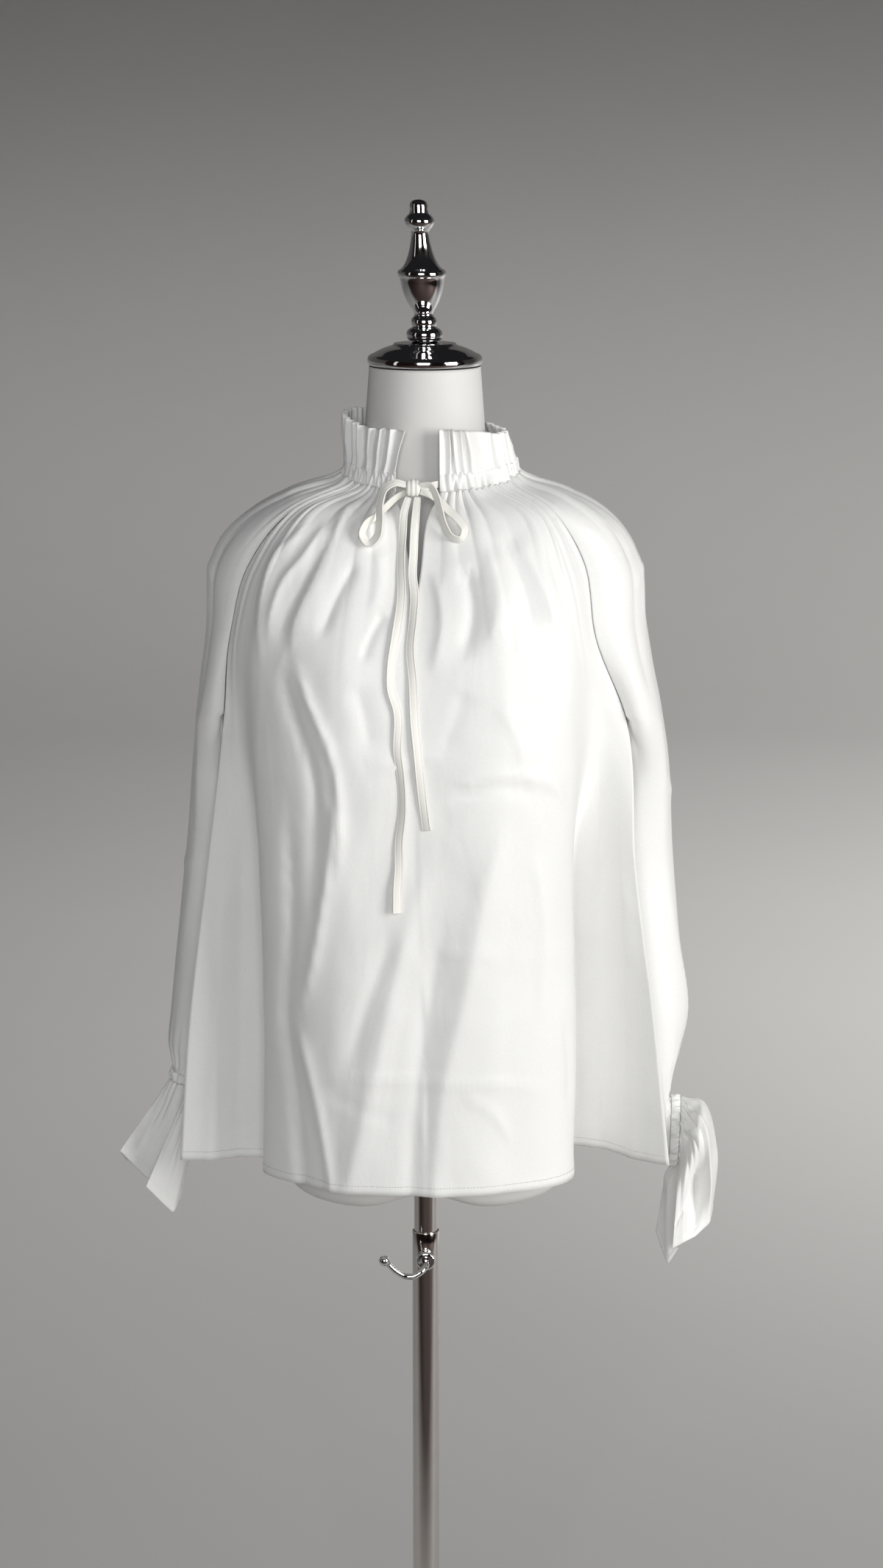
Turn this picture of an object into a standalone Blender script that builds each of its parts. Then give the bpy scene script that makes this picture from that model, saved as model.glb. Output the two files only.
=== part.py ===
"""A gathered raglan blouse with a tied neck, resting on a limbless dress form on a pole.

Metres, +Z up, +X to the wearer's left, front towards -Y. The floor is z = 0 and the pole's axis
is x = y = 0. Each cut and sewn piece is a wall of cloth: an outer surface worked out from the
tables below, with its thickness added inwards.
"""

import math
from typing import NamedTuple

import bmesh
import bpy
import numpy as np
from mathutils import Matrix, Vector

# ---------------------------------------------------------------- driving dimensions
CLOTH = 0.0012  # wall of the cloth, seams and turned hems averaged in
SEAM_GAP = 0.0003  # gap between pieces that are sewn or rest together
FORM_CLEAR = CLOTH + 0.0009  # outer face of the cloth to the form, where it rests on it

# Neck ring: an ellipse that the gathers, the casing and the frill all follow
NECK_X, NECK_Y = 0.005, 0.002
NECK_HALF_WIDTH, NECK_HALF_DEPTH = 0.0765, 0.0665
CASING_BOTTOM, CASING_TOP = 1.291, 1.308
CASING_THICK = 0.0034
FRILL_LEAN = 0.0035  # how far the frill's top leans in to the neck
FRONT_EDGE_LEFT, FRONT_EDGE_RIGHT = 246.0, 276.0  # degrees round the ring, front is 270
SEAM_FRONT_LEFT, SEAM_FRONT_RIGHT = 207.0, 333.0
SEAM_BACK_LEFT, SEAM_BACK_RIGHT = 152.0, 28.0

HEM_Z = 0.667

# Stand
BASE_RADIUS, BASE_HEIGHT = 0.140, 0.040
LOWER_RADIUS, LOWER_BORE, LOWER_TOP, BORE_BOTTOM = 0.0127, 0.0113, 0.591, 0.250
UPPER_RADIUS, UPPER_BOTTOM = 0.0110, 0.310
LOCK_Z, BOSS_RADIUS, BOSS_END = 0.5668, 0.0090, -0.0222
LEVER_RADIUS, KNOB_RADIUS = 0.0031, 0.0050
CAP_BOTTOM = 1.3973
FINIAL_LEAN = 0.045  # to -X over its height
FORM_BOTTOM = 0.652

TIE_WIDTH, TIE_THICK = 0.0080, 0.0024
TAIL_OUT = TIE_THICK / 2 + 0.0011  # a hanging end's middle, in front of the panel
SIDE_LAP = 2 * CLOTH + 3 * SEAM_GAP  # the front's outer face to the back's at the side seams
LOBE_DEPTH, LOBE_NOTCH, LOBE_APART = 0.029, 0.021, 0.034  # the lobes and the dip between them

# Turned profiles, as (radius, z) from the axis round to the axis
NECK_CAP = ((0, CAP_BOTTOM), (0.0490, CAP_BOTTOM), (0.0512, 1.3995), (0.0515, 1.4030),
            (0.0500, 1.4065), (0.0455, 1.4085), (0.0380, 1.4125), (0.0300, 1.4150),
            (0.0280, 1.4160), (0.0275, 1.4180), (0, 1.4180))
FINIAL = ((0, 1.4183), (0.0115, 1.4183), (0.0155, 1.4205), (0.0165, 1.4248), (0.0150, 1.4290),
          (0.0100, 1.4315), (0.0112, 1.4330), (0.0116, 1.4360), (0.0108, 1.4390),
          (0.0083, 1.4410), (0.0084, 1.4440), (0.0125, 1.4500), (0.0165, 1.4580),
          (0.0190, 1.4670), (0.0200, 1.4745), (0.0213, 1.4760), (0.0217, 1.4785),
          (0.0208, 1.4812), (0.0170, 1.4830), (0.0130, 1.4900), (0.0100, 1.4990),
          (0.0082, 1.5080), (0.0077, 1.5150), (0.0105, 1.5175), (0.0132, 1.5215),
          (0.0132, 1.5255), (0.0105, 1.5290), (0.0082, 1.5305), (0.0082, 1.5380),
          (0.0066, 1.5410), (0.0035, 1.5424), (0, 1.5428))
BASE = ((0, 0.0), (0.1370, 0.0), (BASE_RADIUS, 0.0020), (BASE_RADIUS, 0.0080),
        (0.1360, 0.0110), (0.1100, 0.0150), (0.0700, 0.0200), (0.0350, 0.0270),
        (0.0190, 0.0340), (0.0165, BASE_HEIGHT), (0, BASE_HEIGHT))


class Section(NamedTuple):
    """One level of the dress form: its half-width, and how far it reaches forward and back."""

    z: float
    half_width: float
    front: float
    back: float
    square: float  # 2 for an oval, more for a squarer outline


FORM = (
    Section(0.660, 0.1290, 0.0960, 0.1060, 2.8),
    Section(0.690, 0.1310, 0.1005, 0.1110, 2.8),
    Section(0.740, 0.1330, 0.1050, 0.1150, 2.7),
    Section(0.800, 0.1300, 0.1020, 0.1080, 2.5),
    Section(0.860, 0.1220, 0.0960, 0.0920, 2.3),
    Section(0.920, 0.1180, 0.0920, 0.0780, 2.2),
    Section(1.000, 0.1340, 0.1080, 0.0820, 2.1),
    Section(1.060, 0.1500, 0.1250, 0.0880, 2.0),
    Section(1.120, 0.1670, 0.1170, 0.0920, 2.0),
    Section(1.170, 0.1820, 0.1010, 0.0920, 2.0),
    Section(1.200, 0.1860, 0.0900, 0.0890, 2.0),
    Section(1.222, 0.1845, 0.0825, 0.0860, 2.0),
    Section(1.240, 0.1780, 0.0750, 0.0815, 2.0),
    Section(1.256, 0.1620, 0.0680, 0.0760, 2.0),
    Section(1.270, 0.1340, 0.0620, 0.0700, 2.0),
    Section(1.282, 0.0920, 0.0560, 0.0630, 2.0),
    Section(1.293, 0.0640, 0.0530, 0.0585, 2.0),
    Section(1.312, 0.0560, 0.0515, 0.0550, 2.0),
    Section(1.350, 0.0530, 0.0510, 0.0530, 2.0),
    Section(1.397, 0.0495, 0.0495, 0.0495, 2.0),
)


class FrontLevel(NamedTuple):
    """One level of half the front: seam, crease behind the fold, fold edge, middle, centre."""

    seam: tuple
    crease: tuple
    fold: tuple
    middle: tuple
    centre: tuple


FRONT_LEFT = (
    FrontLevel((-0.1180, -0.056, 1.2735), (-0.1090, -0.067, 1.2750), (-0.0970, -0.074, 1.2765),
               (-0.0600, -0.084, 1.2700), (-0.0310, -0.084, 1.2708)),
    FrontLevel((-0.1560, -0.058, 1.2258), (-0.1430, -0.077, 1.2258), (-0.1270, -0.090, 1.2256),
               (-0.0730, -0.106, 1.2250), (-0.0205, -0.103, 1.2240)),
    FrontLevel((-0.1720, -0.054, 1.1670), (-0.1590, -0.076, 1.1700), (-0.1375, -0.099, 1.1734),
               (-0.0830, -0.123, 1.1680), (-0.0139, -0.122, 1.1690)),
    FrontLevel((-0.1800, -0.040, 1.0890), (-0.1600, -0.060, 1.0890), (-0.1459, -0.095, 1.0900),
               (-0.0870, -0.133, 1.0850), (-0.0100, -0.136, 1.0850)),
    FrontLevel((-0.1970, -0.036, 0.9500), (-0.1430, -0.034, 0.9500), (-0.1445, -0.085, 0.9500),
               (-0.0860, -0.128, 0.9500), (-0.0050, -0.133, 0.9500)),
    FrontLevel((-0.2165, -0.030, 0.8000), (-0.1395, -0.024, 0.8000), (-0.1435, -0.071, 0.8000),
               (-0.0830, -0.120, 0.8000), (0.0000, -0.129, 0.8000)),
    FrontLevel((-0.2270, -0.024, HEM_Z), (-0.1370, -0.018, HEM_Z), (-0.1472, -0.059, HEM_Z),
               (-0.0800, -0.111, HEM_Z), (0.0000, -0.124, HEM_Z)),
)
FRONT_RIGHT = (
    FrontLevel((0.1100, -0.056, 1.2760), (0.1010, -0.067, 1.2750), (0.0890, -0.074, 1.2750),
               (0.0450, -0.085, 1.2700), (0.0020, -0.084, 1.2708)),
    FrontLevel((0.1400, -0.062, 1.2300), (0.1250, -0.082, 1.2270), (0.1060, -0.095, 1.2250),
               (0.0560, -0.107, 1.2250), (-0.0040, -0.103, 1.2240)),
    FrontLevel((0.1500, -0.066, 1.1670), (0.1370, -0.085, 1.1690), (0.1190, -0.103, 1.1734),
               (0.0650, -0.125, 1.1680), (-0.0139, -0.122, 1.1690)),
    FrontLevel((0.1800, -0.040, 1.0850), (0.1490, -0.054, 1.0870), (0.1270, -0.104, 1.0900),
               (0.0700, -0.134, 1.0850), (-0.0100, -0.136, 1.0850)),
    FrontLevel((0.1900, -0.040, 0.9500), (0.1330, -0.008, 0.9500), (0.1280, -0.090, 0.9500),
               (0.0700, -0.131, 0.9500), (-0.0050, -0.133, 0.9500)),
    FrontLevel((0.2095, -0.040, 0.8000), (0.1370, 0.012, 0.8000), (0.1325, -0.081, 0.8000),
               (0.0690, -0.125, 0.8000), (0.0000, -0.129, 0.8000)),
    FrontLevel((0.2240, -0.040, HEM_Z), (0.1340, 0.020, HEM_Z), (0.1320, -0.075, HEM_Z),
               (0.0680, -0.118, HEM_Z), (0.0000, -0.124, HEM_Z)),
)


class BackLevel(NamedTuple):
    """One level of half the back, as out from the centre: seam, tuck, side and centre."""

    seam: tuple
    tuck: tuple
    side: tuple
    centre: tuple


BACK = (
    BackLevel((0.108, 0.058, 1.2760), (0.092, 0.066, 1.2770), (0.056, 0.073, 1.2770),
              (0.0, 0.078, 1.2760)),
    BackLevel((0.146, 0.068, 1.2280), (0.120, 0.080, 1.2270), (0.070, 0.091, 1.2260),
              (0.0, 0.097, 1.2250)),
    BackLevel((0.172, 0.050, 1.1670), (0.140, 0.078, 1.1670), (0.080, 0.099, 1.1670),
              (0.0, 0.104, 1.1670)),
    BackLevel((0.180, -0.040, 1.0870), (0.166, 0.046, 1.0850), (0.090, 0.103, 1.0850),
              (0.0, 0.108, 1.0850)),
    BackLevel((0.1935, -0.038, 0.9500), (0.137, 0.033, 0.9500), (0.098, 0.112, 0.9500),
              (0.0, 0.116, 0.9500)),
    BackLevel((0.2130, -0.035, 0.8000), (0.147, 0.042, 0.8000), (0.106, 0.127, 0.8000),
              (0.0, 0.130, 0.8000)),
    BackLevel((0.2255, -0.032, HEM_Z), (0.150, 0.050, HEM_Z), (0.112, 0.138, HEM_Z),
              (0.0, 0.142, HEM_Z)),
)
BACK_FOLDS, BACK_FOLD_DEPTH = 3.5, 0.011  # soft waves across the back, deepest at the hem


class FrillTop(NamedTuple):
    """The frill's top at one place round the neck: its height, and how far it leans over."""

    degrees: float  # round the neck ring, where the frill is sewn on
    z: float
    swing: float  # degrees further round
    shift: float  # towards -X


FRILL_TOP = (
    FrillTop(276, 1.3470, 0.0, 0.0),
    FrillTop(300, 1.3450, 0.0, 0.0015),
    FrillTop(333, 1.3405, 0.0, 0.0050),
    FrillTop(360, 1.3400, 0.0, 0.0070),
    FrillTop(405, 1.3440, 0.0, 0.0060),
    FrillTop(450, 1.3520, 0.0, 0.0045),
    FrillTop(495, 1.3570, 0.0, 0.0040),
    FrillTop(540, 1.3560, 0.0, 0.0035),
    FrillTop(567, 1.3500, 0.0, 0.0020),
    FrillTop(590, 1.3470, 2.5, 0.0005),
    FrillTop(606, 1.3465, 7.0, 0.0),
)


class Ring(NamedTuple):
    """A slanted oval round a sleeve: its centre out from the pole, back and up, its two half
    sizes, and how many degrees its outer end is lifted."""

    out: float
    back: float
    z: float
    wide: float
    deep: float
    lift: float


ARM_LEFT = (
    Ring(0.1920, 0.0120, 1.0870, 0.0155, 0.0470, 0),
    Ring(0.1942, 0.0240, 1.0400, 0.0182, 0.0420, 0),
    Ring(0.1857, 0.0400, 0.9500, 0.0357, 0.0380, 0),
    Ring(0.1936, 0.0420, 0.8600, 0.0376, 0.0380, 0),
    Ring(0.2017, 0.0420, 0.8000, 0.0357, 0.0360, 0),
    Ring(0.2120, 0.0360, 0.7620, 0.0280, 0.0300, 6),
    Ring(0.2205, 0.0320, 0.7380, 0.0168, 0.0195, 12),
)
ARM_RIGHT = (
    Ring(0.1967, 0.0120, 1.0850, 0.0182, 0.0470, 0),
    Ring(0.1999, 0.0240, 1.0400, 0.0224, 0.0420, 0),
    Ring(0.1907, 0.0400, 0.9500, 0.0387, 0.0380, 0),
    Ring(0.1980, 0.0420, 0.8600, 0.0380, 0.0380, 0),
    Ring(0.2065, 0.0400, 0.7900, 0.0376, 0.0360, 8),
    Ring(0.2080, 0.0320, 0.7400, 0.0350, 0.0280, 35),
    Ring(0.2185, 0.0240, 0.6970, 0.0320, 0.0180, 72),
    Ring(0.2262, 0.0210, 0.6815, 0.0330, 0.0135, 88),
)
CUFF_LEFT = (
    Ring(0.2226, 0.0320, 0.7250, 0.0170, 0.0195, 12),
    Ring(0.2355, 0.0330, 0.6910, 0.0290, 0.0320, 22),
    Ring(0.2490, 0.0340, 0.6580, 0.0365, 0.0385, 36),
    Ring(0.2611, 0.0350, 0.6278, 0.0423, 0.0430, 48),
)
CUFF_RIGHT = (
    Ring(0.2390, 0.0210, 0.6815, 0.0325, 0.0130, 88),
    Ring(0.2500, 0.0200, 0.6690, 0.0385, 0.0270, 80),
    Ring(0.2490, 0.0200, 0.6390, 0.0400, 0.0400, 55),
    Ring(0.2445, 0.0200, 0.5790, 0.0320, 0.0420, 46),
)
ARM_START = -145.0  # degrees round a sleeve where its underarm seam runs, 0 outwards, 90 back
SHOULDER_LEFT = ((-0.1277, -0.004, 1.2835), (-0.1885, 0.000, 1.2310), (-0.1955, 0.004, 1.1700))
SHOULDER_RIGHT = ((0.1340, -0.004, 1.2850), (0.1955, 0.000, 1.2320), (0.2030, 0.004, 1.1700))
SHOULDER_ROUND = 0.009  # how far the shoulder swells between the collar bone and the arm
NECK_RISE = 0.014  # the neck ring is this much higher at the back

GATHER_COLUMNS, GATHER_DEPTH = 4, 0.0016  # columns of a panel to each gather below the neck
GATHER_HELD = 0.5  # share of that depth right at the casing, which holds the gathers flat
FRILL_PLEATS, FRILL_DEPTH = 38, 0.0026
CASING_RIPPLES, CASING_RIPPLE = 30, 0.0007
CUFF_WAVES, CUFF_WAVE = 7, 0.0075
WRIST_RIPPLES, WRIST_RIPPLE, WRIST_THICK = 12, 0.0009, 0.0024
WRIST_LAND = 0.0018  # straight length of a sleeve and of a cuff next to the wrist's casing

# Columns between the ribs of a half panel at the neck, from its seam to its centre, and rows
# between levels; past each row number in a KEPT table, every second column has ended
FRONT_COLUMNS, FRONT_ROWS, FRONT_KEPT = (12, 10, 12, 14), (3, 2, 2, 2, 2, 2, 2), (2,)
BACK_COLUMNS, BACK_KEPT = (16, 16, 16), (1, 4)
SLEEVE_COLUMNS, SLEEVE_KEPT = 36, (1,)
ARM_ROWS = ((1, 2, 2, 2, 1, 1), (1, 2, 2, 2, 2, 1, 1))
CUFF_ROWS = 3
FORM_SIDES = 24

# The tie's routes, to the wearer's left and up; what lies on the front takes its depth from it
KNOT, KNOT_HALF_WIDTH, KNOT_HALF_HEIGHT = (-0.0100, -0.0870, 1.2985), 0.0063, 0.0070
TAIL_LEFT = ((-0.0140, 1.2912), (-0.0178, 1.2780), (-0.0190, 1.2620), (-0.0204, 1.2385),
             (-0.0203, 1.2060),
             (-0.0255, 1.1720), (-0.0290, 1.1500), (-0.0290, 1.1290), (-0.0238, 1.1120),
             (-0.0233, 1.0726), (-0.0209, 1.0560), (-0.0196, 1.0195), (-0.0224, 0.9955),
             (-0.0226, 0.9706), (-0.0239, 0.9520), (-0.0241, 0.9314))
TAIL_RIGHT = ((-0.0062, 1.2912), (-0.0074, 1.2780), (-0.0088, 1.2620), (-0.0096, 1.2440),
              (-0.0105, 1.2260), (-0.0088, 1.2086), (-0.0100, 1.1884), (-0.0124, 1.1630), (-0.0102, 1.1378),
              (-0.0086, 1.0991), (-0.0059, 1.0725), (-0.0017, 1.0326), (0.0017, 1.0058))
LOOP_LEFT = ((-0.0160, -0.0905, 1.3020), (-0.0260, -0.0930, 1.3040), (-0.0345, -0.0950, 1.2990),
             (-0.0382, -0.0965, 1.2885), (-0.0389, -0.0985, 1.2704), (-0.0415, -0.1005, 1.2576),
             (-0.0479, -0.1010, 1.2524), (-0.0540, -0.0995, 1.2601), (-0.0505, -0.0965, 1.2690),
             (-0.0425, -0.0915, 1.2745), (-0.0330, -0.0880, 1.2830), (-0.0247, -0.0860, 1.2905),
             (-0.0165, -0.0850, 1.2950))
LOOP_RIGHT = ((-0.0040, -0.0905, 1.3020), (0.0050, -0.0925, 1.3015), (0.0100, -0.0940, 1.2930),
              (0.0130, -0.0960, 1.2820), (0.0170, -0.0980, 1.2679), (0.0237, -0.0995, 1.2577),
              (0.0315, -0.0995, 1.2560), (0.0345, -0.0975, 1.2640), (0.0290, -0.0945, 1.2725),
              (0.0205, -0.0905, 1.2800), (0.0125, -0.0870, 1.2880), (0.0045, -0.0855, 1.2930),
              (-0.0035, -0.0850, 1.2955))
RUN_LEFT = ((-0.0242, -0.0582, 1.2995), (-0.0215, -0.0660, 1.2993), (-0.0175, -0.0760, 1.2990),
            (-0.0143, -0.0819, 1.2988))
RUN_RIGHT = ((0.0115, -0.0630, 1.2995), (0.0090, -0.0690, 1.2993), (0.0030, -0.0770, 1.2990),
             (-0.0057, -0.0819, 1.2988))
LEVER = ((0.0, -0.0225, LOCK_Z), (0.0, -0.0330, LOCK_Z), (-0.0040, -0.0385, 0.5635),
         (-0.0106, -0.0400, 0.5597), (-0.0188, -0.0405, 0.5597), (-0.0280, -0.0420, 0.5655),
         (-0.0345, -0.0430, 0.5722))


# ---------------------------------------------------------------- curves and surfaces
def smooth(knots, params, at):
    """Values on the smooth curve through knots, which stand at rising params."""
    k, t = np.asarray(knots, float), np.asarray(params, float)
    at = np.clip(at, t[0], t[-1])
    pad = (slice(None),) + (None,) * (k.ndim - 1)
    step = np.diff(t)[pad]
    slope = np.diff(k, axis=0) / step
    inner = (slope[:-1] * step[1:] + slope[1:] * step[:-1]) / (step[:-1] + step[1:])
    tangent = np.concatenate([slope[:1], inner, slope[-1:]])
    i = np.clip(np.searchsorted(t, at, side="right") - 1, 0, len(t) - 2)
    h = step[i]
    w = ((at - t[i])[pad]) / h
    return (k[i] * (1 + 2 * w) * (1 - w) ** 2 + tangent[i] * h * w * (1 - w) ** 2
            + k[i + 1] * w**2 * (3 - 2 * w) + tangent[i + 1] * h * w**2 * (w - 1))


def lengths(points):
    """Distance along a row of points, from its first."""
    steps = np.linalg.norm(np.diff(np.asarray(points, float), axis=0), axis=1)
    return np.concatenate([[0.0], np.cumsum(steps)])


def divided(params, counts):
    """Params again, with counts[i] even steps between params i and i + 1."""
    runs = [np.linspace(a, b, n, endpoint=False) for a, b, n in zip(params, params[1:], counts)]
    return np.concatenate(runs + [[params[-1]]])


def on_ring(degrees, z, out=0.0):
    """Points round the neck ring, at a height that its front has, moved outwards."""
    a = np.radians(np.asarray(degrees, float))
    return np.stack([NECK_X + (NECK_HALF_WIDTH + out) * np.cos(a),
                     NECK_Y + (NECK_HALF_DEPTH + out) * np.sin(a),
                     z + NECK_RISE * (1 + np.sin(a)) / 2 + 0 * a], axis=-1)


def form_sizes(z):
    """The dress form's half-width, front, back and squareness at each height."""
    table = np.array(FORM)
    return smooth(table[:, 1:], table[:, 0], z).T


def form_ring(z, angles, scale=1.0):
    """Points round the dress form at one height, its outline scaled."""
    half, front, back, square = form_sizes(np.array([z]))
    c, s = np.cos(angles), np.sin(angles)
    size = (np.abs(c) ** square + np.abs(s) ** square) ** (-1 / square)
    deep = np.where(s < 0, front, back)
    return np.stack([half * scale * size * c, deep * scale * size * s, z + 0 * c], axis=1)


def clear_of_form(points, clear):
    """Points moved out from the dress form until each is that far from its surface."""
    p = points.reshape(-1, 3).copy()
    for _ in range(6):
        def field(q):
            half, front, back, square = form_sizes(q[:, 2])
            deep = np.where(q[:, 1] < 0, front, back)
            return (np.abs(q[:, 0] / half) ** square
                    + np.abs(q[:, 1] / deep) ** square) ** (1 / square)
        step = 1e-4
        value = field(p)
        slope = np.stack([(field(p + step * e) - value) / step for e in np.eye(3)], axis=1)
        size = np.linalg.norm(slope, axis=1)
        away = (value - 1) / size
        move = np.clip(clear - away, 0, 0.01)
        p += (move / size)[:, None] * slope
    return p.reshape(points.shape)


def normals_of(grid):
    """Unit normals of a grid of points, from its rows and columns."""
    down, along = np.gradient(grid, axis=0), np.gradient(grid, axis=1)
    n = np.cross(along, down)
    return n / np.maximum(np.linalg.norm(n, axis=2, keepdims=True), 1e-12)


def gathered(grid, phase):
    """A grid with gathers raised outwards from its first row, some long and some short.

    Each gather is a ridge over a few columns. Its height falls away down the cloth over a length
    of its own.
    """
    down = lengths(grid.mean(axis=1))
    place = np.arange(grid.shape[1]) / GATHER_COLUMNS
    ridge = np.sin(math.pi * np.modf(place)[0]) ** 2
    share = np.modf((np.floor(place) + phase) * 0.618)[0]
    reach = 0.022 + 0.075 * share**2
    lift = GATHER_DEPTH * ridge * np.exp(-((down[:, None] / reach) ** 1.2))
    lift[0] *= GATHER_HELD
    n = normals_of(grid)
    outward = grid[0, :, :2].mean(axis=0) - (NECK_X, NECK_Y)
    if (n[0, :, :2].mean(axis=0) * outward).sum() < 0:
        n = -n
    n[0, :, 2] = 0.0
    return grid + lift[..., None] * n


# ---------------------------------------------------------------- meshes
def clear_scene():
    for old in list(bpy.data.objects):
        bpy.data.objects.remove(old, do_unlink=True)


def finish_material(name, colour, roughness, metallic=0.0):
    made = bpy.data.materials.get(name) or bpy.data.materials.new(name)
    made.use_nodes = True
    shader = made.node_tree.nodes["Principled BSDF"]
    shader.inputs["Base Color"].default_value = (*colour, 1.0)
    shader.inputs["Roughness"].default_value = roughness
    shader.inputs["Metallic"].default_value = metallic
    return made


def cloth_material():
    return finish_material("satin", (0.86, 0.85, 0.82), 0.55)


def chrome_material():
    return finish_material("chrome", (0.78, 0.78, 0.79), 0.12, 1.0)


def add_mesh(name, vertices, faces, material, weld=0.0):
    """An object from points and faces, its loose doubles welded and its faces turned out."""
    mesh = bpy.data.meshes.new(name)
    mesh.from_pydata([tuple(map(float, v)) for v in vertices], [], faces)
    made = bmesh.new()
    made.from_mesh(mesh)
    if weld:
        bmesh.ops.remove_doubles(made, verts=made.verts, dist=weld)
    bmesh.ops.recalc_face_normals(made, faces=made.faces)
    made.to_mesh(mesh)
    made.free()
    mesh.materials.append(material)
    mesh.shade_smooth()
    mesh.set_sharp_from_angle(angle=math.radians(50))
    thing = bpy.data.objects.new(name, mesh)
    bpy.context.collection.objects.link(thing)
    return thing


def lattice(rows, first=0):
    """Faces between rows of points, where a row may have half the steps of the one before."""
    faces, start = [], first
    for a, b in zip(rows, rows[1:]):
        top, low = start, start + len(a)
        if len(a) == len(b):
            faces += [(top + i, top + i + 1, low + i + 1, low + i) for i in range(len(a) - 1)]
        else:
            for i in range(len(b) - 1):
                j = top + 2 * i
                faces += [(j, j + 1, low + i), (j + 1, low + i + 1, low + i),
                          (j + 1, j + 2, low + i + 1)]
        start = low
    return faces


def thinned(grid, kept):
    """A grid's rows, with every second column left out past each row number in kept."""
    return [row[::2 ** sum(i > last for last in kept)] for i, row in enumerate(grid)]


def add_wall(name, sheets, outward, thickness=CLOTH):
    """A wall of cloth whose outer face is made of sheets of rows, welded where they meet.

    outward is a point far outside one face, which settles the side that the wall grows from.
    """
    vertices, faces = [], []
    for rows in sheets:
        faces += lattice(rows, len(vertices))
        vertices += [v for row in rows for v in row]
    thing = add_mesh(name, vertices, faces, cloth_material(), weld=1e-5)
    mesh = thing.data
    nearest = min(mesh.polygons, key=lambda f: (f.center - outward).length)
    if nearest.normal.dot(outward - nearest.center) < 0:
        mesh.flip_normals()
    wall = thing.modifiers.new("wall", "SOLIDIFY")
    wall.thickness, wall.offset = thickness, -1.0
    wall.use_rim = True
    return thing


def add_tube(name, rings, material, closed=False):
    """A solid from rings of points, capped at both ends or joined into a loop."""
    rings = np.asarray(rings, float)
    n, k = rings.shape[:2]
    faces = []
    for i in range(n if closed else n - 1):
        a, b = i * k, (i + 1) % n * k
        faces += [(a + j, a + (j + 1) % k, b + (j + 1) % k, b + j) for j in range(k)]
    if not closed:
        faces += [tuple(range(k))[::-1], tuple(range((n - 1) * k, n * k))]
    return add_mesh(name, rings.reshape(-1, 3), faces, material)


def add_turned(name, profile, material, sides=24, centre=(0.0, 0.0)):
    """A solid turned about an upright axis from (radius, z) points, axis to axis."""
    turn = np.linspace(0, 2 * math.pi, sides, endpoint=False)
    vertices, faces, last = [], [], None
    for radius, z in profile:
        if radius == 0:
            row = [len(vertices)]
            vertices.append((centre[0], centre[1], z))
        else:
            row = list(range(len(vertices), len(vertices) + sides))
            vertices += [(centre[0] + radius * math.cos(a), centre[1] + radius * math.sin(a), z)
                         for a in turn]
        if last:
            for j in range(sides):
                a, b = last[j % len(last)], last[(j + 1) % len(last)]
                c, d = row[(j + 1) % len(row)], row[j % len(row)]
                faces.append(tuple(dict.fromkeys((a, b, c, d))))
        last = row
    return add_mesh(name, vertices, faces, material)


def frames_along(path, side):
    """Unit tangents of a path, and unit vectors across it nearest to side at each point."""
    tangent = np.gradient(path, axis=0)
    tangent /= np.linalg.norm(tangent, axis=1, keepdims=True)
    across = side - (tangent * side).sum(axis=1, keepdims=True) * tangent
    across /= np.linalg.norm(across, axis=1, keepdims=True)
    return tangent, across


def add_ribbon(name, route, points, root, side=None):
    """A flat tie along a route, narrowed to root at its two ends.

    Its width lies along side, or else in the upright plane that a bow's loop lies in.
    """
    at = lengths(route)
    path = smooth(route, at, np.linspace(0, at[-1], points))
    tangent = np.gradient(path, axis=0)
    across = np.cross(tangent, (0.0, -1.0, 0.0)) if side is None else side + 0 * tangent
    tangent, across = frames_along(path, across)
    through = np.cross(tangent, across)
    turn = np.radians([20, 90, 160, 200, 270, 340])
    edge = np.linspace(0, 1, points)
    ends = np.minimum(1, root[0] + (1 - root[0]) * edge * 8)
    ends = np.minimum(ends, root[1] + (1 - root[1]) * (1 - edge) * 8)
    half = ends[:, None, None] * TIE_WIDTH / 2 / math.cos(turn[0])
    wide = half * np.cos(turn)[None, :, None] * across[:, None, :]
    deep = TIE_THICK / 2 * np.sin(turn)[None, :, None] * through[:, None, :]
    return add_tube(name, path[:, None, :] + wide + deep, cloth_material())


def add_rod(name, route, radius, material, points, sides=10):
    """A round rod along a route."""
    at = lengths(route)
    path = smooth(route, at, np.linspace(0, at[-1], points))
    tangent, across = frames_along(path, np.array([0.31, 0.17, 0.93]) + 0 * path)
    through = np.cross(tangent, across)
    turn = np.linspace(0, 2 * math.pi, sides, endpoint=False)
    rings = (path[:, None, :] + radius * np.cos(turn)[None, :, None] * across[:, None, :]
             + radius * np.sin(turn)[None, :, None] * through[:, None, :])
    return add_tube(name, rings, material)


# ---------------------------------------------------------------- the blouse
def level_params(levels):
    """Distance down a panel at each of its levels, the mean over its columns."""
    return np.concatenate([[0.0], np.cumsum(
        np.linalg.norm(np.diff(levels, axis=0), axis=2).mean(1))])


def across_ribs(rows, columns):
    """A grid from rows of rib points, with so many columns between its ribs.

    The last point of each row lies past the panel's centre line and only steers the curve.
    """
    ribs = np.cumsum((0,) + columns + columns[-1:])
    return smooth(rows.transpose(1, 0, 2), ribs, np.arange(ribs[-2] + 1)).transpose(1, 0, 2)


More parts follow.
